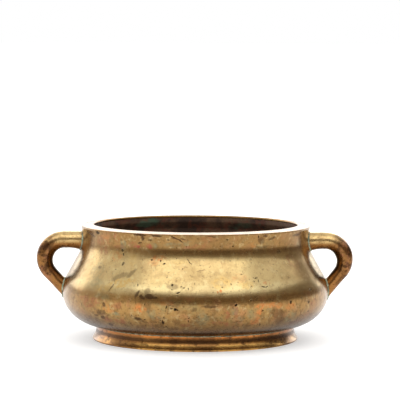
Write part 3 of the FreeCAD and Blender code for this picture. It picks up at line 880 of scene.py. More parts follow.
OWN_MARKS = BowlMarks(
    stains=ovals(
        (-27.5, 71.0, 4.2, 0.6, 0, 0.9), (-19.1, 70.9, 3.0, 0.7, 0, 0.9), (-26.5, 69.4, 0.9, 1.6, 0, 0.8),
        (-28.1, 66.5, 1.4, 0.6, 0, 0.7), (-22.9, 68.0, 1.1, 0.6, 0, 0.6), (-9.7, 69.8, 3.2, 0.5, 25, 0.9),
        (-7.5, 68.4, 1.9, 0.4, 30, 0.9), (-6.1, 69.5, 1.9, 0.4, 15, 0.7), (-13.2, 68.8, 0.8, 0.5, 0, 0.7),
        (8.1, 70.9, 4.4, 0.4, 0, 0.6), (34.0, 67.8, 2.3, 1.9, 0, 0.55), (40.7, 68.9, 2.9, 0.8, -10, 0.6),
        (36.1, 70.4, 1.9, 0.6, 0, 0.7), (45.0, 60.3, 1.9, 1.3, 0, 0.5), (60.1, 69.1, 5.0, 0.8, -8, 0.6),
        (-65.3, 68.6, 7.5, 0.9, 8, 0.6), (-50.2, 49.8, 1.6, 0.9, 0, 0.55),
        (-35.7, 45.9, 6.2, 1.5, -20, 0.42), (-30.0, 48.1, 4.0, 1.3, -38, 0.5),
        (-38.4, 39.3, 3.2, 0.6, -62, 0.6), (-9.8, 41.5, 3.5, 1.8, 0, 0.42),
        (-24.9, 36.7, 1.0, 2.8, 32, 0.75), (-22.6, 34.8, 2.2, 1.1, 20, 0.8),
        (-19.3, 35.4, 3.6, 1.5, 0, 0.85), (-20.3, 38.5, 2.1, 2.0, -20, 0.45),
        (-16.9, 34.8, 2.0, 0.9, 10, 0.8), (-43.7, 23.3, 4.3, 1.7, 0, 0.6),
        (-43.6, 20.3, 2.2, 1.1, 0, 0.75), (-41.7, 28.3, 1.2, 1.6, -10, 0.7),
        (-47.3, 21.4, 2.0, 0.7, 0, 0.6), (-24.9, 21.2, 2.3, 1.0, 8, 0.8),
        (-21.9, 19.8, 2.7, 1.0, 20, 0.35), (5.8, 29.9, 4.7, 0.7, 0, 0.6),
        (37.2, 24.0, 5.5, 3.0, 20, 0.42), (39.7, 19.8, 4.1, 2.8, 0, 0.45),
        (32.6, 32.8, 3.7, 1.0, -5, 0.4), (25.0, 34.3, 2.8, 1.8, 0, 0.35),
        (-0.3, 28.4, 1.6, 1.2, -30, 0.5), (2.2, 48.8, 1.9, 2.3, 0, 0.14), (35.4, 64.0, 6.1, 0.6, 0, 0.3),
        (17.5, 20.4, 3.3, 0.5, 0, 0.4), (-15.6, 16.9, 5.8, 1.3, 0, 0.3), (2.3, 50.8, 2.2, 0.4, -10, 0.4),
        (-41.6, 16.0, 2.0, 1.2, 0, 0.7),
    ),
    pits=ovals(
        (-56.4, 70.4, 2.1, 0.9, 0, 0.8), (-38.1, 60.9, 1.1, 0.8, 0, 0.75),
        (-37.6, 58.6, 0.7, 0.8, 0, 0.8), (-36.4, 53.2, 1.3, 1.1, -30, 0.7),
        (-39.3, 50.0, 0.6, 0.4, 0, 0.6), (-21.5, 56.1, 0.9, 0.5, 0, 0.7), (-16.5, 56.1, 0.5, 0.5, 0, 0.8),
        (-14.6, 54.5, 0.6, 0.3, 0, 0.9), (-14.9, 57.6, 0.5, 0.3, 0, 0.6), (-26.0, 56.2, 0.3, 0.7, 0, 0.4),
        (-9.1, 58.0, 0.5, 0.3, 0, 0.6), (-5.6, 51.8, 0.4, 0.4, 0, 0.5), (-3.2, 56.4, 2.9, 0.2, 45, 0.75),
        (-25.5, 41.9, 0.5, 0.7, 0, 0.7), (-10.0, 42.4, 0.8, 0.5, 0, 0.9),
        (-7.1, 38.1, 1.3, 0.5, -25, 0.9), (-7.5, 36.4, 0.6, 0.5, 0, 0.8), (-6.2, 42.0, 0.5, 0.3, 0, 0.6),
        (-5.2, 41.3, 0.9, 0.3, 0, 0.7), (-3.2, 40.3, 0.3, 0.9, 0, 0.6), (-27.6, 23.2, 0.4, 0.7, 0, 0.7),
        (-21.6, 21.2, 0.5, 0.5, 0, 0.8), (-21.2, 31.0, 0.3, 0.8, 30, 0.7),
        (-12.0, 29.8, 0.4, 1.0, 15, 0.8), (-8.4, 28.2, 1.0, 0.8, 0, 1), (-9.8, 28.7, 0.8, 0.4, 0, 0.8),
        (-7.5, 27.8, 0.6, 0.4, 0, 0.8), (-13.9, 20.0, 0.5, 1.6, -5, 0.9), (-14.8, 21.0, 0.4, 0.4, 0, 0.8),
        (-13.2, 23.0, 0.4, 0.4, 0, 0.7), (-11.5, 25.6, 0.4, 0.4, 0, 0.6), (-2.6, 22.9, 0.8, 0.4, 0, 0.9),
        (-2.8, 21.1, 0.4, 0.7, 0, 0.8), (-12.7, 17.4, 0.4, 0.6, 0, 0.6), (15.3, 69.2, 0.8, 0.5, 0, 0.7),
        (18.5, 65.4, 0.5, 0.5, 0, 0.8), (31.9, 70.1, 0.5, 0.9, 0, 0.8), (27.8, 46.0, 1.3, 0.4, 0, 0.6),
        (26.6, 44.2, 0.8, 0.4, 0, 0.6), (28.8, 44.3, 0.4, 0.7, 0, 0.6), (30.3, 40.9, 1.0, 0.4, 10, 0.8),
        (32.0, 40.7, 1.2, 0.3, -15, 0.9), (21.0, 48.3, 0.8, 0.3, -15, 0.5),
        (24.2, 45.1, 0.3, 0.3, 0, 0.5), (24.6, 41.4, 0.5, 0.3, 0, 0.5), (15.5, 42.6, 0.5, 0.6, 0, 0.5),
        (7.8, 41.7, 0.3, 0.5, 0, 0.6), (11.5, 41.4, 0.5, 0.2, -10, 0.6), (16.8, 30.8, 0.8, 0.7, 0, 1),
        (23.4, 33.2, 1.0, 0.8, 0, 0.7), (20.3, 36.6, 0.6, 0.4, 0, 0.6), (43.7, 30.5, 1.0, 1.1, -10, 0.9),
        (29.1, 26.5, 1.0, 0.5, -10, 0.8), (55.9, 28.8, 1.2, 0.8, 0, 0.6), (57.2, 22.7, 1.0, 0.6, 0, 0.6),
        (5.1, 25.6, 0.6, 0.4, 0, 0.7), (29.4, 17.8, 0.4, 0.8, 0, 0.7), (58.3, 36.3, 1.1, 0.8, 0, 0.6),
        (9.9, 33.2, 0.6, 0.3, 0, 0.5), (2.1, 53.9, 0.6, 0.3, 0, 0.35), (16.7, 56.0, 0.4, 0.3, 0, 0.4),
        (18.6, 44.0, 0.3, 0.3, 0, 0.5), (39.5, 53.0, 0.6, 0.3, 0, 0.5), (40.4, 48.9, 0.4, 0.5, 0, 0.4),
        (23.8, 53.4, 0.4, 0.3, 0, 0.35), (-12.6, 46.6, 0.4, 0.3, 0, 0.5), (-17.2, 41.0, 0.3, 0.3, 0, 0.4),
        (-0.4, 43.2, 0.3, 0.5, 0, 0.45),
    ),
    reds=ovals(
        (-29.9, 63.6, 2.6, 1.1, -10, 1), (-23.0, 64.1, 2.4, 1.3, 10, 1), (-42.2, 68.8, 2.5, 2.8, 0, 0.5),
        (-51.1, 59.8, 4.5, 3.0, 0, 0.4), (-54.7, 65.6, 4.3, 3.1, 0, 0.35),
        (-39.9, 62.9, 4.1, 1.5, 0, 0.3), (-46.2, 30.5, 8.1, 1.9, 0, 0.5), (-51.2, 27.9, 6.0, 2.6, 0, 0.6),
        (-53.7, 30.7, 5.3, 1.9, 0, 0.6), (-41.5, 19.1, 5.0, 1.7, 0, 0.55),
        (-34.7, 18.9, 4.6, 1.4, 0, 0.5), (-33.5, 28.9, 3.0, 1.9, 0, 0.35),
        (13.1, 25.1, 1.7, 3.8, -30, 0.55), (9.2, 19.7, 3.8, 1.3, 0, 0.55), (12.7, 19.3, 2.6, 1.6, 0, 0.6),
        (17.3, 26.2, 1.4, 3.2, 0, 0.4), (53.9, 18.6, 8.5, 2.3, -20, 0.4), (60.3, 26.0, 5.0, 4.1, 0, 0.4),
        (54.7, 51.6, 6.5, 3.3, 0, 0.3), (52.4, 55.4, 4.1, 2.8, 0, 0.35), (2.4, 64.5, 5.6, 1.8, 0, 0.3),
        (-32.5, 65.0, 3.0, 1.8, 0, 0.4), (-3.9, 64.1, 1.9, 1.2, 0, 0.5), (-4.2, 18.1, 3.1, 1.1, 0, 0.45),
        (5.2, 68.7, 3.1, 3.7, 0, 0.25),
    ),
    oranges=ovals(
        (-23.6, 27.6, 4.1, 2.1, 0, 0.9), (-23.9, 30.1, 3.4, 1.2, 0, 0.5), (-17.9, 57.7, 4.3, 1.7, 0, 0.6),
        (-20.1, 55.0, 3.3, 2.3, 0, 0.3), (-41.5, 57.1, 4.2, 2.9, 0, 0.4),
        (27.4, 28.9, 3.5, 2.1, -20, 0.85), (32.7, 29.7, 4.5, 1.6, 0, 0.6), (27.3, 25.8, 2.5, 1.9, 0, 0.8),
        (43.8, 27.7, 4.3, 2.2, 0, 0.7), (37.4, 29.0, 3.1, 1.9, 0, 0.5), (26.3, 20.5, 2.8, 3.3, 0, 0.6),
        (-39.1, 26.4, 5.6, 2.6, 0, 0.4), (-11.8, 31.8, 5.7, 1.2, 0, 0.3),
        (-50.4, 68.5, 3.9, 1.9, 0, 0.35), (10.7, 39.1, 0.8, 1.2, 0, 0.9), (9.4, 38.8, 0.5, 0.8, 0, 0.8),
        (32.5, 42.8, 3.0, 1.1, 0, 0.5), (29.5, 65.2, 2.2, 1.8, 0, 0.3), (19.9, 46.2, 5.3, 2.8, 0, 0.2),
    ),
    greens=ovals(
        (-35.1, 22.7, 2.7, 2.4, 0, 0.8), (-38.0, 64.6, 2.4, 3.7, 0, 0.5), (-11.2, 65.7, 5.1, 1.6, 0, 0.4),
        (-20.4, 64.7, 2.0, 1.8, 0, 0.4), (16.4, 26.9, 2.6, 2.5, 0, 0.45), (3.1, 22.1, 3.8, 4.5, 0, 0.45),
        (45.8, 21.0, 4.5, 4.2, -20, 0.5), (-42.5, 33.4, 6.8, 1.8, 0, 0.35),
        (-48.2, 41.1, 5.6, 3.4, 0, 0.35), (-51.2, 47.9, 6.0, 5.0, 0, 0.35),
        (-16.7, 25.3, 5.9, 3.2, 0, 0.4), (-3.4, 66.8, 3.8, 1.8, 0, 0.3), (66.0, 63.8, 6.1, 2.5, 0, 0.35),
        (23.7, 24.6, 2.7, 2.6, 0, 0.3), (19.5, 22.3, 2.7, 2.0, 0, 0.3), (33.0, 26.6, 3.0, 1.3, 0, 0.4),
    ),
    golds=ovals(
        (-34.4, 42.0, 9.9, 2.8, -12, 0.8), (-43.0, 38.2, 7.7, 2.0, 0, 0.6),
        (-41.6, 25.5, 5.0, 3.2, 0, 0.5), (11.5, 43.7, 5.7, 4.0, 0, 0.5), (22.4, 42.1, 5.4, 2.3, 0, 0.5),
        (-31.5, 54.3, 3.7, 5.1, 0, 0.3), (-7.0, 55.5, 5.0, 1.7, 0, 0.2), (-45.8, 53.2, 4.5, 2.2, 0, 0.2),
    ),
    inside_greens=ovals(
        (-154.0, 69.6, 5.0, 2.6), (-149.0, 67.5, 7.0, 2.4), (150.0, 67.0, 6.0, 2.0, 0, 0.5),
    ),
)


@dataclass
class Bowl:
    """The turned bowl: a flat lip, a drawn-in neck, a full belly and a flat floor."""

    height: float = 73.0
    belly: float = 84.0
    foot_top: float = 9.3
    neck: float = 71.3
    neck_level: float = 64.0
    neck_ease: float = 5.2
    belly_level: float = 29.7
    belly_ease: float = 6.4
    under_run: float = 23.4
    wall: float = 4.5
    lip_width: float = 8.0
    lip_flare: float = 1.0
    lip_fall: float = 0.9
    lip_edge: float = 1.2
    crown_ease: float = 1.12
    rim_ease: float = 0.45
    mouth_level: float = 68.5
    lip_start: float = 1.5
    around: int = 288
    marks: BowlMarks = OWN_MARKS

    def flank(self, shift: float) -> list[Corner]:
        """The corners from the neck down to the floor, moved out by shift.

        Args:
            shift: how far out they are moved, less than 0 for the inside.

        Returns:
            The corners.
        """
        drop = self.belly_level - self.foot_top + shift
        return [
            Corner(self.neck + shift, self.neck_level - self.neck_ease, self.neck_ease),
            Corner(self.belly + shift, self.belly_level + self.belly_ease, self.belly_ease),
            Corner(self.belly + shift, self.foot_top - shift, drop, self.under_run + shift),
            Corner(0.0, self.foot_top - shift),
        ]

    def outside(self) -> Outline:
        """The outline from the rim's lower edge down to the middle of the underside.

        Returns:
            Points with x as distance from the axis and y as height.
        """
        rim = self.neck + self.lip_flare
        edge = self.height - self.lip_fall - self.lip_edge
        rise = edge - self.neck_level
        cove = (self.lip_flare**2 + rise**2) / (2 * rise)
        corners = [
            Corner(rim, edge),
            Corner(self.neck, self.neck_level + cove, cove * NEARLY),
            *self.flank(0.0),
        ]
        return turned_outline(corners)

    def lip(self) -> Outline:
        """The outline over the lip, from the top of the mouth's wall to the rim's lower edge.

        Returns:
            Points with x as distance from the axis and y as height.
        """
        rim = self.neck + self.lip_flare
        crown = rim - self.lip_width
        corners = [
            Corner(crown, self.height - self.lip_start * self.crown_ease),
            Corner(crown, self.height, self.crown_ease),
            Corner(rim, self.height - self.lip_fall, self.rim_ease),
            Corner(rim, self.height - self.lip_fall - self.lip_edge),
        ]
        return turned_outline(corners, 0.7)

    def inside(self) -> Outline:
        """The outline from the middle of the inside's floor up to the lip.

        Returns:
            Points with x as distance from the axis and y as height.
        """
        crown = self.neck + self.lip_flare - self.lip_width
        start = [
            Corner(crown, self.height - self.lip_start * self.crown_ease),
            Corner(crown, self.mouth_level),
            Corner(self.neck - self.wall, self.neck_level),
        ]
        return turned_outline([*start, *self.flank(-self.wall)])[::-1]

    def out_at(self, level: float) -> float:
        """The outside's distance from the axis at a level.

        Args:
            level: height above the base.

        Returns:
            The distance.
        """
        outline = self.outside()
        for upper, lower in zip(outline, outline[1:]):
            if lower.y <= level <= upper.y and upper.y > lower.y:
                part = (level - lower.y) / (upper.y - lower.y)
                return lower.x + (upper.x - lower.x) * part
        return outline[0].x

    def inside_at(self, level: float) -> float:
        """The inside's distance from the axis at a level."""
        return self.out_at(level) - self.wall

    def build(self, peg_holes: Sequence[bpy.types.Object]) -> bpy.types.Object:
        """The bowl with its peg holes and finishes.

        Args:
            peg_holes: closed meshes that are cut out of the wall and then removed.

        Returns:
            The bowl.
        """
        inside, lip, outside = self.inside(), self.lip(), self.outside()
        outline = inside + lip[1:] + outside[1:]
        bands = [1] * (len(inside) - 1) + [0] * (len(outline) - len(inside))
        piece = skin("bowl", turned_rows(outline, self.around, hand_waver), bands)
        piece.data.materials.append(RubbedCastBronze().build(self.marks, self.out_at))
        floor = self.foot_top + self.wall
        piece.data.materials.append(SootedBronze().build(self.marks, self.inside_at, floor))
        for hole in peg_holes:
            cut = piece.modifiers.new(hole.name, "BOOLEAN")
            cut.object, cut.solver = hole, "EXACT"
        graph = bpy.context.evaluated_depsgraph_get()
        mesh = bpy.data.meshes.new_from_object(piece.evaluated_get(graph))
        piece.modifiers.clear()
        piece.data = mesh
        for hole in peg_holes:
            bpy.data.objects.remove(hole)
        return fit_piece(piece, ["vessel_body"])


@dataclass
class Foot:
    """The foot ring: a hollow-sided splayed ring with a rolled lower edge, and the joint above it."""

    height: float
    joint: float = 0.5
    joint_lap: float = 0.05
    joint_proud: float = 0.12
    crust_waves: Pair = (0.16, 1.8)
    waist: float = 62.4
    flare: float = 2.7
    roll: float = 0.7
    wall: float = 3.6
    base: float = 4.2
    around: int = 288

    def outline(self) -> Outline:
        """The closed outline, from the inner top edge round by the outside.

        Returns:
            Points with x as distance from the axis and y as height.
        """
        top = self.height - self.joint
        reach = self.waist + self.flare - self.roll
        run, drop = reach - self.waist, top - self.roll
        cove = (run**2 + drop**2 - self.roll**2) / (2 * (run + self.roll))
        centre = Vector((self.waist + cove, top))
        nose = Vector((reach, self.roll))
        meet = (nose - centre).normalized() * cove + centre
        start, end = math.pi, math.atan2(meet.y - centre.y, meet.x - centre.x) % (2 * math.pi)
        side = self.arc(centre, cove, start, end)
        first = math.atan2(meet.y - nose.y, meet.x - nose.x)
        edge = self.arc(nose, self.roll, first, -math.pi / 2)
        inner_top = Vector((self.waist - self.wall, top))
        inner_base = Vector((self.waist + self.flare - self.base, 0.0))
        return [inner_top, *side, *edge[1:], inner_base, inner_top]

    @staticmethod
    def arc(centre: Vector, radius: float, start: float, end: float, count: int = 24) -> Outline:
        """Evenly spread points of an arc.

        Args:
            centre: its centre.
            radius: its radius.
            start: direction of the first point in radians.
            end: direction of the last point.
            count: how many steps it has.

        Returns:
            The points, first to last.
        """
        turns = [start + (end - start) * k / count for k in range(count + 1)]
        return [centre + Vector((math.cos(turn), math.sin(turn))) * radius for turn in turns]

    def build(self) -> list[bpy.types.Object]:
        """The foot ring and the joint line over it.

        Returns:
            Both pieces.
        """
        ring = skin("foot", turned_rows(self.outline(), self.around, hand_waver))
        ring.data.materials.append(PaintedLightFootBronze().build(self.height))
        fit_piece(ring, ["foot_ring"])
        top = self.height + self.joint_lap
        low = self.height - self.joint - self.joint_lap
        outer = self.waist + self.joint_proud
        inner = self.waist - self.wall
        ends = ((inner, low), (outer, low), (outer, top), (inner, top), (inner, low))
        outline = turned_outline([Corner(*end) for end in ends], 5.0)
        rows = turned_rows(outline, self.around, self.crust)
        line = skin("foot_joint", rows)
        line.data.materials.append(VerdigrisSolder().build())
        return [ring, fit_piece(line, ["foot_seam"])]

    def crust(self, point: Vector) -> float:
        """How far the joint's crust stands out at a place."""
        high, long = self.crust_waves
        return hand_waver(point) + high * noise.noise(point / long)


class Side(Enum):
    """The side that a handle stands on, as the turn that puts it there."""

    RIGHT = 0.0
    LEFT = 180.0


@dataclass
class LoopHandle:
    """One loop handle: a level arm, a round bend and a slanting tail, with two pegs through the wall."""

    side: Side
    bowl: Bowl
    drop: float = 10.6
    bend: float = 12.3
    bend_out: float = 82.7
    tail_level: float = 32.8
    hollow_in: tuple[float, float, float] = (1.5, 0.0, 1.3)
    root_flare: float = 3.0
    flare_run: float = 12.5
    arm: float = 5.35
    tail: float = 4.35
    taper_start: float = 0.45
    taper_end: float = 1.25
    sink: float = 1.1
    upper_peg: float = 3.4
    lower_peg: float = 2.6
    peg_play: float = 0.1
    peg_shy: float = 0.4
    bead_lift: float = 0.1
    bead_ring: int = 10
    bead_count: int = 144
    upper_bead: float = 0.55
    lower_bead: float = 0.6
    root_search: float = 14.0
    tail_past: float = 12.0
    tail_search: float = 24.0
    rings: int = 120
    around: int = 48
    bowl_outs: list[float] = field(init=False)

    def __post_init__(self) -> None:
        """Keeps the bowl's outside at every quarter of a millimetre, since it is asked for often."""
        self.bowl_outs = [self.bowl.out_at(k / 4) for k in range(int(self.bowl.height) * 4)]

    @property
    def arm_level(self) -> float:
        """The level of the upper arm's middle line."""
        return self.bowl.height - self.drop

    @property
    def tail_turn(self) -> float:
        """The angle round the bend where the tail leaves it."""
        foot = Vector((self.bowl.belly - self.bend_out, self.tail_level - self.arm_level + self.bend))
        return math.atan2(foot.y, foot.x) + math.acos(self.bend / foot.length)

    def middle(self, run: float) -> tuple[Vector, Vector, float]:
        """The middle line at a length along it.

        Args:
            run: length from the inside of the neck.

        Returns:
            The spot, the direction and the rod's radius there.
        """
        start = self.bowl.neck - self.bowl.wall
        straight = self.bend_out - start
        sweep = math.pi / 2 - self.tail_turn
        curved = self.bend * sweep
        if run <= straight:
            return Vector((start + run, 0, self.arm_level)), Vector((1, 0, 0)), self.arm
        centre = Vector((self.bend_out, 0, self.arm_level - self.bend))
        part = (run - straight) / curved
        turn = math.pi / 2 - min(1.0, part) * sweep
        spot = centre + Vector((math.cos(turn), 0, math.sin(turn))) * self.bend
        course = Vector((math.sin(turn), 0, -math.cos(turn)))
        if run > straight + curved:
            spot += course * (run - straight - curved)
        taper = max(0.0, min(1.0, (part - self.taper_start) / (self.taper_end - self.taper_start)))
        return spot, course, self.arm - (self.arm - self.tail) * taper * taper * (3 - 2 * taper)

    def rod_spot(self, run: float, turn: float, swell: float = 0.0) -> Vector:
        """A spot on the rod's surface at a length along it and a turn round it.

        Args:
            run: length from the inside of the neck.
            turn: turn round the rod, 0 at the outer side of the loop.
            swell: how far the spot stands out of the rod.

        Returns:
            The spot.
        """
        spot, course, radius = self.middle(run)
        up = Vector((-course.z, 0, course.x))
        out = up * math.cos(turn) + Vector((0, 1, 0)) * math.sin(turn)
        worn = 0.07 * noise.noise(spot / 7.0 + out) + 0.03 * noise.noise((spot + out * radius) / 2.5)
        flare = self.root_flare * max(0.0, -out.z) ** 2 * max(0.0, 1.0 - run / self.flare_run) ** 1.5
        return spot + out * (radius + worn + flare + swell)

    def clear_of_bowl(self, spot: Vector) -> float:
        """How far a spot stands out from the bowl's outside."""
        return math.hypot(spot.x, spot.y) - self.bowl_out(spot.z)

    def bowl_out(self, level: float) -> float:
        """The bowl's outside at a level, between the kept ones.

        Args:
            level: height above the base.

        Returns:
            The outside's distance from the axis.
        """
        index = max(0, min(len(self.bowl_outs) - 2, int(level * 4)))
        low, high = self.bowl_outs[index : index + 2]
        return low + (high - low) * (level - index / 4) * 4

    def meeting(self, turn: float, start: float, end: float, depth: float) -> float:
        """The length along the rod where a line on its surface lies at a depth in the bowl.

        Args:
            turn: the line's turn round the rod.
            start: a length where it is deeper.
            end: a length where it is less deep.
            depth: the wanted depth.

        Returns:
            That length.
        """
        for _ in range(28):
            middle = (start + end) / 2
            if self.clear_of_bowl(self.rod_spot(middle, turn)) < -depth:
                start = middle
            else:
                end = middle
        return (start + end) / 2

    @property
    def whole_run(self) -> float:
        """Length of the middle line to the spot where it meets the belly."""
        straight = self.bend_out - self.bowl.neck + self.bowl.wall
        foot = Vector((self.bowl.belly - self.bend_out, self.tail_level - self.arm_level + self.bend))
        last = math.sqrt(foot.length_squared - self.bend**2)
        return straight + self.bend * (math.pi / 2 - self.tail_turn) + last

    def turns(self) -> list[float]:
        """The turns round the rod at which its surface has points."""
        return [2 * math.pi * k / self.around for k in range(self.around)]

    def side_skin(self, name: str, rows: list[list[Vector]]) -> bpy.types.Object:
        """A skin over rows of the right handle, turned to this handle's side."""
        turned = Matrix.Rotation(math.radians(self.side.value), 3, "Z")
        return skin(name, [[turned @ spot for spot in row] for row in rows])

    def ends(self) -> tuple[tuple[float, float], tuple[float, float]]:
        """For the root and the tail, a length surely inside the bowl and one surely outside it."""
        far = self.whole_run + self.tail_past
        return (0.0, self.root_search), (far, far - self.tail_search)

    def rod_rows(self) -> list[list[Vector]]:
        """Rings along the rod, its ends cut to the bowl a little under the surface.

        Returns:
            The rings, with a pole at each end.
        """
        turns = self.turns()
        spans = [[self.meeting(turn, *end, self.sink) for end in self.ends()] for turn in turns]
        rows = []
        for k in range(self.rings + 1):
            part = k / self.rings
            rows.append([self.rod_spot(a + (b - a) * part, turn) for (a, b), turn in zip(spans, turns)])
        caps = [sum(row, Vector()) / self.around for row in (rows[0], rows[-1])]
        return [[caps[0]] * self.around, *rows, [caps[1]] * self.around]

    def peg_rows(self, level: float, radius: float, tip: float, root: float) -> list[list[Vector]]:
        """Rings of a level round peg from its tip inside the bowl to its root in the rod.

        Args:
            level: level of the peg's middle line.
            radius: its radius.
            tip: distance of its tip from the bowl's axis.
            root: distance of its root from the bowl's axis.

        Returns:
            The rings.
        """
        profile = [(tip, 0.0), (tip, radius - 0.3), (tip + 0.3, radius), (root, radius), (root, 0.0)]
        turns = self.turns()
        return [[Vector((x, r * math.cos(t), level + r * math.sin(t))) for t in turns] for x, r in profile]

    def pegs(self) -> list[tuple[float, float, float, float]]:
        """Level, radius, tip and root of each peg."""
        neck, belly, wall = self.bowl.neck, self.bowl.belly, self.bowl.wall
        return [
            (self.arm_level, self.upper_peg, neck - wall + self.peg_shy, neck + 1.5),
            (self.tail_level, self.lower_peg, belly - wall + self.peg_shy, belly - 0.6),
        ]

    def holes(self) -> list[bpy.types.Object]:
        """Closed meshes of the holes that the pegs need in the bowl's wall, from the inside only.

        Returns:
            One mesh for each peg.
        """
        made = []
        for number, (level, radius, tip, root) in enumerate(self.pegs()):
            rows = self.peg_rows(level, radius + self.peg_play, tip - 2.5, root - 2.6)
            made.append(self.side_skin(f"peg_hole_{self.side.name.lower()}_{number}", rows))
        return made

    def bead_rows(self, start: float, end: float, thick: float) -> list[list[Vector]]:
        """Rings of the uneven solder line where the rod meets the bowl.

        Args:
            start: a length along the rod that is surely inside the bowl.
            end: one that is surely outside it.
            thick: half the usual thickness of the line.

        Returns:
            The rings, the first one again at the end.
        """
        count, ring = self.bead_count, [2 * math.pi * n / self.bead_ring for n in range(self.bead_ring)]
        line = []
        for k in range(count):
            turn = 2 * math.pi * k / count
            run = self.meeting(turn, start, end, -self.bead_lift)
            line.append(self.rod_spot(run, turn, self.bead_lift / 2))
        rows = []
        for k, spot in enumerate(line):
            course = (line[(k + 1) % count] - line[k - 1]).normalized()
            out = Vector((spot.x, spot.y, 0)).normalized()
            side = course.cross(out).normalized()
            fat = thick * (1.0 + 0.55 * noise.noise(spot / 1.7 + Vector((self.side.value, 0, 0))))
            rows.append([spot + (out * math.cos(a) + side * math.sin(a)) * fat for a in ring])
        return [*rows, rows[0]]

    def build(self) -> list[bpy.types.Object]:
        """The handle with its pegs, and the two solder lines.

        Returns:
            The three pieces.
        """
        label = self.side.name.lower()
        rod = self.side_skin(f"{label}_loop", self.rod_rows())
        parts = [rod, *(self.side_skin(f"{label}_peg", self.peg_rows(*peg)) for peg in self.pegs())]
        whole = bmesh.new()
        for part in parts:
            whole.from_mesh(part.data)
        whole.to_mesh(rod.data)
        whole.free()
        for part in parts[1:]:
            bpy.data.objects.remove(part)
        # middle of the handle's painted shade, from which its painted highlight and reflection levels count
        hollow = Vector((self.bend_out, 0.0, self.arm_level - self.bend)) - Vector(self.hollow_in)
        bend = self.bend_out + self.bend / 2
        rod.data.materials.append(HandledBronze().build(self.bowl.neck, bend, hollow))
        fit_piece(rod, [f"{label}_handle"])
        made = [rod]
        beads = (("upper", self.upper_bead), ("lower", self.lower_bead))
        for (name, thick), end in zip(beads, self.ends()):
            bead = self.side_skin(f"{label}_{name}_joint", self.bead_rows(*end, thick))
            bead.data.materials.append(VerdigrisSolder(name=f"verdigris_{label}_{name}").build())
            made.append(fit_piece(bead, [f"{label}_handle_{name}_seam"]))
        return made


# The studio


@dataclass(frozen=True)
class Panel:
    """A lit cloth panel, as a patch of a sphere round the object.

    Args:
        name: its name.
        bearing: degrees from the front to its middle.
        reach: degrees from its middle to each end.
        low: elevation of its lower edge at the left and right end.
        high: elevation of its upper edge at the left and right end.
        glow: how bright it is.
    """

    name: str
    bearing: float
    reach: float
    low: Pair
    high: Pair
    glow: float


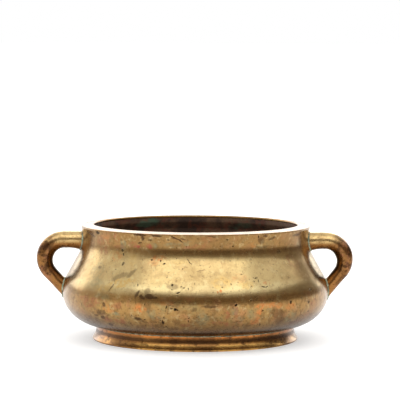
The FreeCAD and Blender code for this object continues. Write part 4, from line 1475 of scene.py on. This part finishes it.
@dataclass(frozen=True)
class Studio:
    """A pale floor, a white surround, a wide soft panel in front and behind, and a grey curtain."""

    floor_reach: float = 30.0
    floor_colour: str = "#E9E9E8"
    floor_lift: float = 0.42
    surround: float = 1.0
    fill: float = 0.9
    panel_far: float = 3.2
    panels: tuple[Panel, ...] = (
        Panel("front_panel", 0.0, 60.0, (34.0, 36.0), (66.0, 66.0), 1.9),
        Panel("back_panel", 180.0, 65.0, (6.0, 6.0), (44.0, 44.0), 2.6),
    )
    curtain_far: float = 2.8
    curtain_left: float = -92.0
    curtain_right: float = 135.0
    curtain_low: Pair = (0.0, 0.0)
    curtain_top: Pair = (29.0, 26.0)
    curtain_fading: Pair = (-1500.0, -2600.0)
    curtain_colour: str = "#93887C"
    curtain_pale: str = "#D8D4CE"

    def seen(self, tree: Tree) -> Socket:
        """1 for rays that show a background: straight to the camera, mirrored or let through.

        Args:
            tree: the tree that asks.

        Returns:
            The mask.
        """
        path = add_node(tree, "ShaderNodeLightPath")
        names = ("Is Camera Ray", "Is Glossy Ray", "Is Transmission Ray")
        whole: Any = 0.0
        for name in names:
            feeds = {0: whole, 1: path.outputs[name]}
            whole = add_node(tree, "ShaderNodeMath", feeds, operation="MAXIMUM").outputs[0]
        return whole

    def build_surround(self) -> None:
        """The world: white where it is seen, and a plain white fill elsewhere."""
        world = bpy.data.worlds.new("surround")
        world.use_nodes = True
        tree = world.node_tree
        tree.nodes.clear()
        feeds = {"Value": self.seen(tree), "To Min": self.fill, "To Max": self.surround}
        strength = add_node(tree, "ShaderNodeMapRange", feeds).outputs[0]
        glow = add_node(tree, "ShaderNodeBackground", {"Color": (1, 1, 1, 1), "Strength": strength})
        add_node(tree, "ShaderNodeOutputWorld", {"Surface": glow.outputs[0]})
        bpy.context.scene.world = world

    def build_floor(self) -> bpy.types.Object:
        """Pale matt paper, lifted to white where it is seen, so that only shadows show.

        Returns:
            The floor.
        """
        material, tree, _ = new_tree("matt_paper")
        paper = add_node(tree, "ShaderNodeBsdfDiffuse", {"Color": linear(self.floor_colour)})
        lift = product(tree, self.seen(tree), self.floor_lift)
        glow = add_node(tree, "ShaderNodeEmission", {"Color": (1, 1, 1, 1), "Strength": lift})
        both = add_node(tree, "ShaderNodeAddShader", {0: paper.outputs[0], 1: glow.outputs[0]})
        add_node(tree, "ShaderNodeOutputMaterial", {"Surface": both.outputs[0]})
        reach = self.floor_reach
        mesh = bpy.data.meshes.new("floor")
        corners = [(-reach, -reach, 0), (reach, -reach, 0), (reach, reach, 0), (-reach, reach, 0)]
        mesh.from_pydata(corners, [], [(0, 1, 2, 3)])
        mesh.materials.append(material)
        return self.staged("floor", mesh)

    @staticmethod
    def dome_patch(name: str, far: float, bearings: Pair, low: Pair, high: Pair) -> bpy.types.Mesh:
        """A patch of a sphere round the object.

        Args:
            name: the mesh's name.
            far: the sphere's radius in m.
            bearings: its left and right ends in degrees from the front.
            low: elevation of its lower edge at the left and right end.
            high: elevation of its upper edge at the left and right end.

        Returns:
            The mesh.
        """
        spots, faces = [], []
        wide, tall = 48, 12
        for row in range(tall + 1):
            for column in range(wide + 1):
                part = column / wide
                bottom = low[0] + (low[1] - low[0]) * part
                top = high[0] + (high[1] - high[0]) * part
                up = math.radians(bottom + (top - bottom) * row / tall)
                turn = math.radians(bearings[0] + (bearings[1] - bearings[0]) * part)
                flat = far * math.cos(up)
                spots.append((flat * math.sin(turn), -flat * math.cos(turn), far * math.sin(up) + 0.001))
        for row in range(tall):
            for column in range(wide):
                k = row * (wide + 1) + column
                faces.append((k, k + 1, k + wide + 2, k + wide + 1))
        mesh = bpy.data.meshes.new(name)
        mesh.from_pydata(spots, [], faces)
        return mesh

    def build_panel(self, panel: Panel) -> bpy.types.Object:
        """A lit cloth panel, unseen by the camera.

        Args:
            panel: the panel.

        Returns:
            The object.
        """
        material, tree, _ = new_tree(f"lit_cloth_{panel.name}")
        light = add_node(tree, "ShaderNodeEmission", {"Color": (1, 1, 1, 1), "Strength": panel.glow})
        add_node(tree, "ShaderNodeOutputMaterial", {"Surface": light.outputs[0]})
        bearings = (panel.bearing - panel.reach, panel.bearing + panel.reach)
        mesh = self.dome_patch(panel.name, self.panel_far, bearings, panel.low, panel.high)
        mesh.materials.append(material)
        return self.staged(panel.name, mesh, seen=False)

    def build_curtain(self) -> bpy.types.Object:
        """The grey curtain that gives polished metal its dark bands, paler towards its left end.

        Returns:
            The object.
        """
        material, tree, place = new_tree("grey_curtain")
        fading = level_band(tree, place, *self.curtain_fading, "X")
        colour = colour_layers(tree, self.curtain_colour, [(fading, 1.0, self.curtain_pale)])
        cloth = add_node(tree, "ShaderNodeBsdfDiffuse", {"Color": colour})
        add_node(tree, "ShaderNodeOutputMaterial", {"Surface": cloth.outputs[0]})
        bearings = (self.curtain_left, self.curtain_right)
        mesh = self.dome_patch("curtain", self.curtain_far, bearings, self.curtain_low, self.curtain_top)
        mesh.materials.append(material)
        return self.staged("curtain", mesh, seen=False)

    @staticmethod
    def staged(name: str, mesh: bpy.types.Mesh, seen: bool = True) -> bpy.types.Object:
        """Puts a mesh in the studio, unseen by the camera itself if asked.

        Args:
            name: the object's name.
            mesh: its mesh.
            seen: whether the camera sees it.

        Returns:
            The object.
        """
        thing = bpy.data.objects.new(name, mesh)
        bpy.context.scene.collection.objects.link(thing)
        thing.visible_camera = seen
        return thing

    def build(self) -> None:
        """The whole studio, at plain colour settings."""
        self.build_surround()
        self.build_floor()
        for panel in self.panels:
            self.build_panel(panel)
        self.build_curtain()
        bpy.context.scene.view_settings.view_transform = "Standard"


@dataclass(frozen=True)
class Viewpoint:
    """The camera, placed by the foreshortening of the mouth and the foot."""

    image_side: float = 400.0
    focal_pixels: float = 2278.0
    sensor: float = 36.0
    distance: float = 1.437
    look_height: float = 7.73
    tilt: float = 4.268
    axis_pixel: float = 195.3
    middle_pixel: float = 199.5
    roll: float = 0.30

    def build(self) -> bpy.types.Object:
        """The camera, set as the scene's own.

        Returns:
            The camera.
        """
        lens = bpy.data.cameras.new("camera")
        lens.sensor_width = self.sensor
        lens.lens = self.focal_pixels / self.image_side * self.sensor
        lens.clip_start, lens.clip_end = 0.05, 100.0
        camera = bpy.data.objects.new("camera", lens)
        bpy.context.scene.collection.objects.link(camera)
        height = self.distance * math.tan(math.radians(self.look_height))
        camera.location = (0.0, -self.distance, height)
        swing = math.atan((self.middle_pixel - self.axis_pixel) / self.focal_pixels)
        aim = Matrix.Rotation(-swing, 4, "Z") @ Matrix.Rotation(math.radians(90 - self.tilt), 4, "X")
        camera.rotation_euler = (aim @ Matrix.Rotation(math.radians(self.roll), 4, "Z")).to_euler()
        bpy.context.scene.camera = camera
        return camera


def main() -> None:
    """Builds the censer, its studio and its camera."""
    logging.basicConfig(level=logging.INFO, format="%(message)s")
    bowl = Bowl()
    usual = LoopHandle.bend_out
    further = {Side.RIGHT: -0.4, Side.LEFT: 0.5}
    handles = [LoopHandle(side, bowl, bend_out=usual + extra) for side, extra in further.items()]
    bowl.build([hole for handle in handles for hole in handle.holes()])
    Foot(bowl.foot_top).build()
    for handle in handles:
        handle.build()
    Studio().build()
    Viewpoint().build()


if __name__ == "__main__":
    main()
